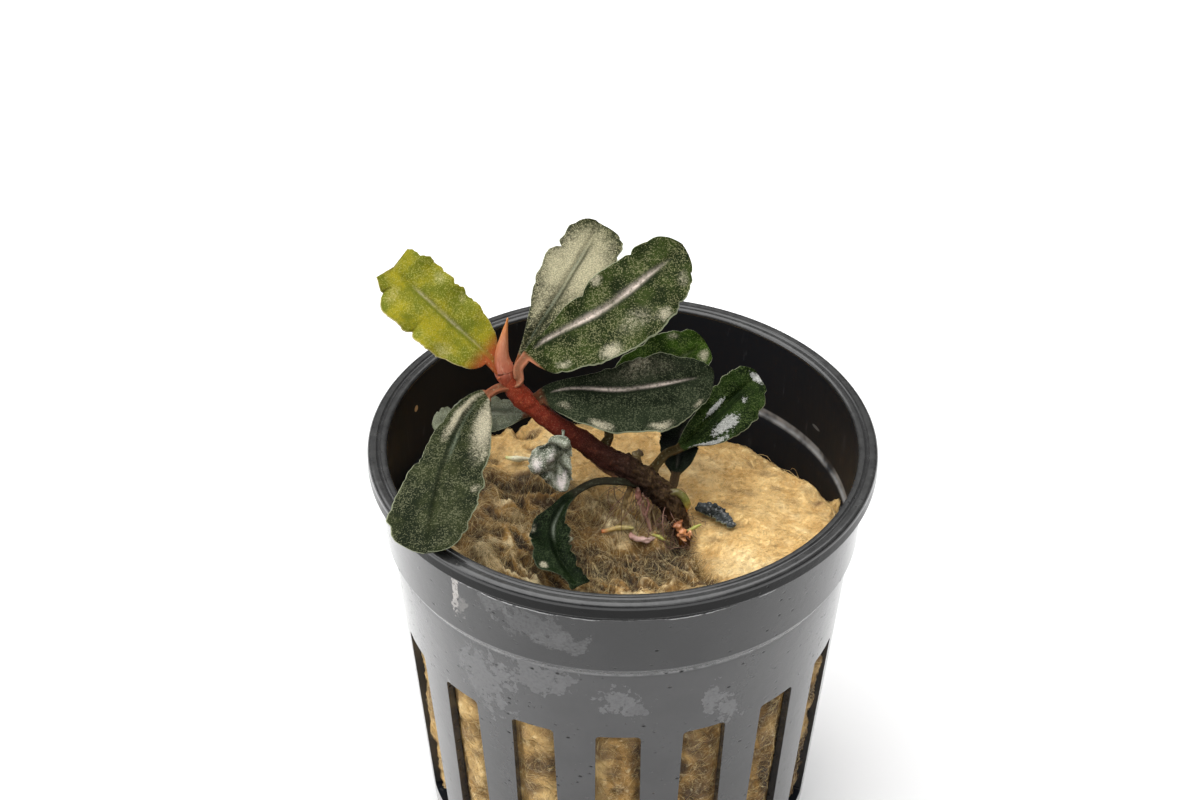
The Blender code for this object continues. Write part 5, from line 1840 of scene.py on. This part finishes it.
LEAVES = (
    Leaf("blade_1_yellow", "leaf_1_yellow", Slot.YELLOW_LEAF,
         like_dark("leaf_1_yellow_green", ground=(0.265, 0.230, 0.010), deep=(0.115, 0.130, 0.008),
                   speck=(0.41, 0.38, 0.09), patch=(0.44, 0.40, 0.16), rib=(0.34, 0.31, 0.18),
                   margin=(0.42, 0.36, 0.16), under=(0.20, 0.17, 0.04), stalk=(0.30, 0.070, 0.020),
                   speck_share=0.5, stalk_reach=0.15),
         Route(((-12.8, 0.0, 59.4), (-14.1, 0.35, 60.8), (-19.4, 2.7, 65.1), (-24.8, 6.0, 68.6))), 1,
         (0.30, -0.60, 0.74), (3.2, 4.0, 4.7, 4.8, 4.7, 4.9, 3.9), (2.4, 3.0, 3.4, 3.5, 3.5, 3.8, 3.3),
         notches_left=((0.30, 0.1), (0.42, 0.1), (0.545, 0.8), (0.70, 0.15), (0.89, 0.9)),
         notches_right=((0.26, 0.12), (0.37, 0.2), (0.46, 0.15), (0.57, 0.25), (0.69, 0.25), (0.79, 0.2),
                        (0.89, 0.25)),
         torn_tip=(2.2, 2.7), tear_depth=0.07, base_round=0.7, seed=101, groove_side=-1.0,
         stalk_half_width=0.9, rib_to=0.85,
         patches=(Patch(0.30, -0.75, 0.07, 0.22, 0.4), Patch(0.68, 0.72, 0.05, 0.18, 0.4),
                  Patch(0.85, -0.6, 0.06, 0.25, 0.3), Patch(0.45, 0.78, 0.04, 0.15, 0.35))),
    Leaf("blade_2_pale", "leaf_2_pale", Slot.PALE_LEAF,
         # Leaf 2's silver look is its large pale patches, painted highlights of glare on a dark green ground.
         like_dark("leaf_2_silver_glare", ground=(0.038, 0.042, 0.017), deep=(0.009, 0.012, 0.004),
                   patch=(0.42, 0.385, 0.245), speck=(0.32, 0.30, 0.17), speck_share=0.6,
                   rib=(0.16, 0.19, 0.14), stalk=(0.30, 0.10, 0.035), patch_blur=0.5),
         Route(((-11.7, 0.5, 58.4), (-11.0, 1.5, 59.9), (-6.4, 7.5, 65.3), (-2.7, 14.3, 68.6))), 1,
         (-0.1, -0.5, 0.86), (0.8, 1.6, 2.6, 3.2, 3.4, 3.0, 2.6), (1.8, 2.7, 3.4, 3.7, 3.9, 4.0, 3.8),
         notches_left=((0.36, 0.1), (0.50, 0.15), (0.735, 0.75)),
         notches_right=((0.35, 0.2), (0.50, 0.25), (0.64, 0.3), (0.80, 0.35), (0.93, 0.3)),
         fold_deg=9.0, stalk_half_width=0.4, seed=111, rib_highlight=0.6, rib_wide=0.12,
         patches=(Patch(0.62, -0.35, 0.22, 0.55, 1.0), Patch(0.62, 0.50, 0.20, 0.36, 1.0),
                  Patch(0.86, 0.0, 0.10, 0.5, 0.4), Patch(0.30, -0.5, 0.10, 0.35, 0.35))),
    Leaf("blade_3_large", "leaf_3_large", Slot.DARK_LEAF,
         like_dark("leaf_3_green", ground=(0.029, 0.043, 0.008), deep=(0.007, 0.013, 0.002),
                   speck=(0.175, 0.175, 0.085), stalk=(0.34, 0.13, 0.070), speck_share=0.8,
                   stalk_reach=0.03, gloss=0.04),
         Route(((-11.9, -0.6, 58.0), (-11.15, -0.95, 58.8), (-11.2, -0.5, 60.0), (-10.4, 0.1, 61.0),
                (-1.6, 2.8, 66.0), (6.3, 8.0, 70.0))), 3,
         (-0.15, -0.62, 0.77), (0.7, 1.7, 2.7, 3.4, 3.5, 3.3, 3.1), (4.1, 4.9, 5.5, 5.8, 5.9, 5.3, 4.0),
         notches_left=((0.40, 0.5), (0.60, 0.15), (0.76, 0.45), (0.90, 0.1)),
         notches_right=((0.36, 0.08), (0.55, 0.3), (0.69, 0.2), (0.78, 0.5), (0.93, 0.6)),
         waves=4.5, seed=121, rib_highlight=1.0, rib_wide=0.24, stalk_half_width=0.55, base_round=1.0,
         tip_power=0.8,
         patches=(Patch(0.40, 0.85, 0.04, 0.13, 0.8), Patch(0.16, 0.80, 0.05, 0.10, 0.5),
                  Patch(0.56, 0.55, 0.10, 0.25, 0.25), Patch(0.68, 0.85, 0.035, 0.12, 0.6),
                  Patch(0.52, -0.85, 0.035, 0.15, 0.6), Patch(0.88, 0.7, 0.04, 0.2, 0.3))),
    Leaf("blade_4_back", "leaf_4_back", Slot.DARK_LEAF,
         like_dark("leaf_4_bright_green", ground=(0.024, 0.055, 0.002), deep=(0.007, 0.017, 0.001),
                   gloss=0.03, speck=(0.095, 0.130, 0.035), stalk=(0.075, 0.045, 0.018),
                   rib=(0.12, 0.13, 0.08)),
         Route(((-1.5, -1.7, 51.9), (-1.5, 0.3, 52.0), (-1.3, 2.0, 51.6), (3.4, 6.2, 54.4),
                (9.0, 9.6, 56.2))), 2,
         (-0.05, -0.5, 0.86), (2.2, 3.0, 3.65, 3.65, 3.6, 3.4, 2.8), (2.2, 3.2, 3.9, 4.1, 4.0, 3.6, 2.7),
         seed=131,
         notches_left=((0.45, 0.1), (0.60, 0.1), (0.75, 0.1), (0.90, 0.15)),
         notches_right=((0.35, 0.2), (0.50, 0.2), (0.65, 0.2), (0.82, 0.2)),
         patches=(Patch(0.80, -0.8, 0.05, 0.15, 0.3), Patch(0.92, 0.5, 0.05, 0.25, 0.6))),
    Leaf("blade_5_dark", "leaf_5_dark", Slot.DARK_LEAF,
         like_dark("leaf_5_dark_green", ground=(0.018, 0.025, 0.012), deep=(0.006, 0.010, 0.004),
                   gloss=0.03, speck=(0.085, 0.096, 0.055), stalk=(0.085, 0.030, 0.014), stalk_reach=0.04),
         Route(((-9.7, -1.2, 55.9), (-8.8, -1.1, 56.7), (0.9, -0.9, 57.8), (9.6, 1.6, 57.8))), 1,
         (0.05, -0.62, 0.78), (1.0, 1.4, 2.3, 3.0, 3.3, 3.1, 2.2), (2.9, 4.1, 4.9, 5.0, 5.4, 4.6, 3.2),
         notches_left=((0.20, 0.05), (0.39, 0.3), (0.60, 0.1), (0.75, 0.1), (0.92, 0.1)),
         notches_right=((0.30, 0.1), (0.50, 0.1), (0.68, 0.1), (0.82, 0.15), (0.92, 0.15)),
         seed=141, rib_highlight=1.0, rib_wide=0.13, stalk_half_width=0.8, base_round=0.4, tip_power=0.9,
         patches=(Patch(0.34, 0.88, 0.05, 0.10, 0.8), Patch(0.62, 0.88, 0.06, 0.08, 0.7),
                  Patch(0.57, -0.85, 0.05, 0.18, 0.35), Patch(0.86, 0.85, 0.03, 0.08, 0.5),
                  Patch(0.55, -0.55, 0.35, 0.45, 0.16),
                  Patch(0.14, 0.6, 0.05, 0.15, 0.3))),
    Leaf("blade_6_right", "leaf_6_right", Slot.DARK_LEAF,
         like_dark("leaf_6_wet_green", patch=(0.50, 0.50, 0.47), patch_roughness=0.16,
                   ground=(0.020, 0.040, 0.006), deep=(0.004, 0.010, 0.001), speck=(0.070, 0.100, 0.030),
                   gloss=0.04, stalk=(0.075, 0.048, 0.018), patch_blur=0.12, rib=(0.03, 0.05, 0.02)),
         Route(((3.55, -3.6, 49.6), (4.6, -2.4, 50.2), (6.0, -1.0, 49.9), (10.6, 3.4, 51.9),
                (14.6, 7.9, 53.2))), 2,
         (0.25, -0.55, 0.80), (1.2, 1.6, 1.85, 2.15, 2.4, 2.4, 2.1), (0.9, 2.3, 3.1, 3.45, 3.5, 3.2, 2.2),
         notches_left=((0.45, 0.1), (0.62, 0.15), (0.80, 0.1)),
         notches_right=((0.40, 0.1), (0.60, 0.1), (0.74, 0.3), (0.88, 0.15)),
         fold_deg=14.0, tip_power=0.8, seed=151, rib_highlight=0.3,
         patches=(Patch(0.42, 0.48, 0.12, 0.20, 1.0), Patch(0.46, -0.30, 0.11, 0.14, 0.9),
                  Patch(0.22, 0.85, 0.14, 0.12, 0.9), Patch(0.97, 0.1, 0.04, 0.6, 0.9),
                  Patch(0.72, 0.3, 0.05, 0.15, 0.4))),
    Leaf("blade_7_low", "leaf_7_low", Slot.DARK_LEAF,
         # Leaf 7's near-black colour is painted shade: the leaf stands in shade behind the others.
         like_dark("leaf_7_shaded_green", ground=(0.004, 0.007, 0.003), deep=(0.002, 0.003, 0.002),
                   speck=(0.03, 0.04, 0.02), speck_share=0.3, stalk=(0.060, 0.035, 0.015),
                   margin=(0.05, 0.06, 0.03)),
         Route(((5.5, -3.6, 47.2), (5.7, -2.6, 47.7), (6.2, 1.6, 49.0), (6.7, 5.6, 48.4))), 1,
         (0.0, -0.3, 0.95), (1.4, 1.9, 2.1, 2.2, 2.1, 1.9, 1.4), (1.4, 1.9, 2.1, 2.2, 2.1, 1.9, 1.4),
         notches_left=((0.4, 0.1), (0.7, 0.1)), notches_right=((0.5, 0.1), (0.8, 0.1)),
         ruffle=0.12, seed=161, rib_highlight=0.1),
    Leaf("blade_8_over_rim", "leaf_8_over_rim", Slot.DARK_LEAF,
         # Leaf 8's pale specks are painted glints, and the pale patches near its base are painted highlights.
         like_dark("leaf_8_speckled", ground=(0.024, 0.030, 0.010), deep=(0.006, 0.010, 0.003),
                   gloss=0.05, rib=(0.17, 0.20, 0.14), speck=(0.130, 0.134, 0.075),
                   stalk=(0.26, 0.090, 0.045), stalk_reach=0.015),
         Route(((-12.3, -0.8, 57.9), (-13.3, -1.1, 57.9), (-14.4, -1.4, 57.3), (-18.4, -10.6, 55.2),
                (-20.3, -20.9, 51.4))), 2,
         (-0.1, -0.35, 0.95), (2.5, 3.3, 3.95, 4.15, 4.55, 4.3, 3.4), (1.8, 2.3, 2.9, 3.2, 4.0, 4.7, 4.4),
         notches_left=((0.30, 0.1), (0.50, 0.25), (0.62, 0.25), (0.70, 0.2), (0.81, 0.4), (0.90, 0.1)),
         notches_right=((0.25, 0.25), (0.42, 0.1), (0.52, 0.25), (0.62, 0.2), (0.72, 0.1), (0.90, 0.1)),
         fold_deg=-5.0, base_round=0.5, seed=171, rib_highlight=0.5, rib_to=0.55,
         patches=(Patch(0.18, 0.42, 0.14, 0.22, 1.0), Patch(0.20, -0.70, 0.19, 0.28, 1.0),
                  Patch(0.62, -0.85, 0.03, 0.10, 0.4), Patch(0.42, -0.85, 0.03, 0.06, 0.3))),
    Leaf("blade_9_under", "leaf_9_under", Slot.DARK_LEAF,
         like_dark("leaf_9_grey_green", ground=(0.140, 0.150, 0.092), deep=(0.055, 0.065, 0.038),
                   gloss=0.3, stalk=(0.16, 0.06, 0.03), speck=(0.24, 0.26, 0.18), rib=(0.30, 0.31, 0.24)),
         Route(((-9.9, -0.7, 54.5), (-10.5, -0.6, 54.3), (-15.6, -0.6, 53.9), (-20.4, -1.0, 52.8))), 1,
         (-0.1, -0.25, 0.96), (1.7, 2.4, 2.9, 3.2, 3.2, 2.7, 1.9), (1.6, 2.0, 2.2, 2.3, 2.2, 1.9, 1.4),
         notches_left=((0.3, 0.35), (0.5, 0.4), (0.68, 0.4), (0.84, 0.3)),
         notches_right=((0.25, 0.35), (0.42, 0.4), (0.60, 0.45), (0.77, 0.4), (0.90, 0.3)),
         ruffle=0.35, seed=181),
    Leaf("blade_10_torn", "leaf_10_torn", Slot.PALE_LEAF,
         like_dark("leaf_10_silver", ground=(0.36, 0.375, 0.28), deep=(0.055, 0.070, 0.036),
                   speck=(0.66, 0.66, 0.54), patch=(0.82, 0.72, 0.69), stalk=(0.30, 0.33, 0.26),
                   margin=(0.46, 0.49, 0.38), gloss=0.65, roughness=0.24),
         Route(((-6.35, -4.1, 54.3), (-6.4, -4.4, 54.1), (-6.7, -5.0, 51.2), (-6.8, -5.2, 47.9))), 1,
         (0.05, -0.85, 0.5), (0.9, 1.15, 1.2, 1.2, 1.3, 1.35, 1.1), (1.5, 2.5, 3.1, 3.4, 3.2, 2.5, 1.5),
         notches_left=((0.42, 0.1), (0.72, 0.1)), notches_right=((0.3, 0.1), (0.55, 0.1), (0.8, 0.1)),
         ruffle=0.35, waves=1.8, stalk_half_width=0.15, base_round=1.0, seed=191, crumple=0.75,
         crumple_length=3.4, wrinkle=0.05,
         rib_depth=0.1, rib_highlight=0.0, stalk_top=0.2, stalk_under=0.3, stalk_channel=0.0,
         patches=(Patch(0.84, -0.15, 0.09, 0.35, 0.95), Patch(0.72, -0.45, 0.06, 0.2, 0.6),
                  Patch(0.35, 0.3, 0.10, 0.2, 0.5), Patch(0.50, 0.75, 0.12, 0.15, 0.6))),
    Leaf("blade_11_curled", "leaf_11_curled", Slot.DARK_LEAF,
         like_dark("leaf_11_dark_green", ground=(0.006, 0.013, 0.003), deep=(0.0015, 0.004, 0.001),
                   stalk=(0.018, 0.016, 0.009), rib=(0.17, 0.19, 0.15), speck=(0.035, 0.050, 0.022),
                   margin=(0.12, 0.14, 0.09), stalk_reach=0.10, gloss=0.05, stalk_shade=0.0),
         Route(((1.4, -5.2, 48.4), (-0.6, -5.9, 49.2), (-2.8, -5.9, 49.1), (-4.8, -6.3, 48.2),
                (-7.2, -9.6, 46.2), (-6.9, -13.2, 45.6), (-4.5, -17.4, 44.0))), 3,
         (-0.35, -0.45, 0.80), (0.6, 0.9, 1.4, 1.9, 1.8, 1.4, 1.3), (0.8, 1.4, 2.3, 2.6, 2.6, 2.8, 1.6),
         face_tip=(0.25, -0.45, 0.85), ruffle=0.4, fold_deg=14.0, stalk_half_width=0.45, seed=201,
         stalk_top=0.2, stalk_under=0.25, stalk_channel=0.05, torn_tip=(1.1, 0.8), tear_depth=0.05,
         notches_left=((0.5, 0.15), (0.66, 0.5), (0.9, 0.2)),
         notches_right=((0.42, 0.1), (0.53, 0.3), (0.64, 0.3), (0.88, 0.5)),
         rib_highlight=0.8, rib_wide=0.13, rib_from=0.12, rib_to=0.6,
         patches=(Patch(0.42, 0.88, 0.04, 0.12, 0.35), Patch(0.76, 0.75, 0.022, 0.12, 0.9),
                  Patch(0.57, -0.92, 0.05, 0.08, 0.4))),
    Leaf("dead_scrap", "leaf_scrap", Slot.DEAD_LEAF,
         like_dark("dead_leaf", ground=(0.080, 0.088, 0.090), deep=(0.014, 0.016, 0.014),
                   speck=(0.26, 0.27, 0.27), patch=(0.32, 0.31, 0.30), stalk=(0.02, 0.02, 0.02),
                   under=(0.02, 0.022, 0.02), speck_size=0.3, speck_cover=0.5),
         Route(((8.1, -2.7, 43.4), (10.3, -4.0, 43.9), (12.0, -6.3, 43.6))), 0,
         (0.3, -0.4, 0.86), (0.7, 0.8, 0.9, 0.9, 0.8, 0.7, 0.5), (0.6, 0.8, 0.9, 0.9, 0.9, 0.8, 0.6),
         notches_left=((0.4, 0.12), (0.7, 0.12)), notches_right=((0.5, 0.12), (0.8, 0.12)),
         ruffle=0.1, fold_deg=-25.0, seed=211, crumple=0.12, crumple_length=0.8, rib_depth=0.05,
         rib_highlight=0.0,
         patches=(Patch(0.35, 0.2, 0.12, 0.3, 0.4), Patch(0.6, -0.2, 0.12, 0.3, 0.4))),
)


@dataclass(frozen=True)
class Studio:
    """The pale floor, the soft lights and the camera at the photo's viewing angle."""

    tilt_deg: float = 36.83
    roll_deg: float = 0.5
    target: Point = (-2.49, 0.0, 55.58)
    distance: float = 400.0
    lens: float = 112.38
    sensor: float = 36.0
    clip_start: float = 0.01
    floor_size: float = 6.0
    lights_aim: Point = (0.0, 0.0, 0.05)

    def aim(self) -> Matrix:
        """The camera's place and turn."""
        tilt = math.radians(self.tilt_deg)
        roll = math.radians(self.roll_deg)
        forward = Vector((0.0, math.cos(tilt), -math.sin(tilt)))
        level = Vector((1.0, 0.0, 0.0))
        rise = level.cross(forward)
        right = level * math.cos(roll) + rise * math.sin(roll)
        up = rise * math.cos(roll) - level * math.sin(roll)
        place = (Vector(self.target) - forward * self.distance) * MM
        turned = Matrix((right, up, -forward)).transposed().to_4x4()
        return Matrix.Translation(place) @ turned

    def place_camera(self) -> None:
        """Adds the camera and makes it the scene's."""
        clear_selection()
        bpy.ops.object.camera_add()
        camera = bpy.context.object
        camera.data.lens = self.lens
        camera.data.sensor_width = self.sensor
        camera.data.clip_start = self.clip_start
        camera.matrix_world = self.aim()
        bpy.context.scene.camera = camera

    def lay_floor(self) -> None:
        """Adds the pale floor, which isn't part of the object."""
        clear_selection()
        bpy.ops.mesh.primitive_plane_add(size=self.floor_size)
        floor = bpy.context.object
        floor.name = "floor"
        material, tree, shader = new_finish("floor")
        grain = tree.noise(tree.place(), 40.0, 2.0)
        tree.fill(shader, Base_Color=tree.mix(grain, (0.90, 0.90, 0.90), (0.93, 0.93, 0.93)), Roughness=0.8)
        floor.data.materials.append(material)

    def add_light(self, name: str, place: Point, size: float, power: float) -> None:
        """Adds a soft square light that faces the plant.

        Args:
            name: The light's name.
            place: Where it hangs, in metres.
            size: The length of its side, in metres.
            power: Its power in watts.
        """
        clear_selection()
        bpy.ops.object.light_add(type="AREA", location=place)
        light = bpy.context.object
        light.name = name
        light.data.size = size
        light.data.energy = power
        way = Vector(self.lights_aim) - Vector(place)
        light.rotation_euler = way.to_track_quat("-Z", "Y").to_euler()

    def light_up(self) -> None:
        """Adds the lights and a white surround."""
        world = bpy.data.worlds.new("studio")
        bpy.context.scene.world = world
        world.use_nodes = True
        tree = Tree(world.node_tree)
        way = tree.split(tree.node("ShaderNodeTexCoord").outputs["Generated"])
        behind = tree.plus(way["Y"], tree.times(way["Z"], 0.5))
        tree.fill(world.node_tree.nodes["Background"], Strength=tree.step(behind, -0.35, 0.55, 0.24, 0.60))
        self.add_light("top_softbox", (-0.14, 0.0, 0.84), 1.5, 22.5)
        self.add_light("front_fill", (0.35, -0.75, 0.45), 0.4, 0.9)
        self.add_light("left_card", (-0.85, -0.15, 0.32), 0.55, 3.2)
        view = bpy.context.scene.view_settings
        view.view_transform = "Standard"


NAPS = (
    Nap("wool_nap_gold", 13500, 3, (0.6, 1.9), (0.012, 0.024), 0.35, 0.16, 71, (0.0, 0.55)),
    Nap("wool_nap_back", 13500, 3, (0.6, 1.9), (0.012, 0.024), 0.35, 0.16, 73, (0.0, 0.55)),
    Nap("wool_nap_brown", 7600, 5, (1.4, 4.0), (0.010, 0.021), 0.24, 0.35, 72, (0.3, 1.0), comb=0.9),
    Nap("wool_nap_stray", 420, 6, (1.4, 3.4), (0.014, 0.026), 0.5, 1.3, 75, (0.0, 1.0)),
    Nap("wool_nap_shaggy", 7200, 5, (1.0, 2.8), (0.009, 0.020), 0.32, 0.6, 74, (0.3, 1.0), comb=0.75),
)


def main() -> None:
    """Builds the stage, the pot, the wool and the plant."""
    logging.basicConfig(level=logging.INFO, format="%(name)s: %(message)s")
    studio = Studio()
    studio.place_camera()
    studio.lay_floor()
    studio.light_up()
    effects = Effects()
    pot = Pot()
    pot.build(effects)
    plug = Plug()
    plug.build(pot)
    fibres = plug.dress("wool_fibre", True)
    for nap in NAPS:
        nap.build(plug, pot, fibres)
    SlotNap().build(plug, pot, fibres)
    stem = Stem()
    stem.build()
    Spear().build()
    for leaf in LEAVES:
        leaf.build(stem.route, effects)
    for thread in THREADS:
        thread.build(plug)
    RootHairs().build(stem, plug)


if __name__ == "__main__":
    main()
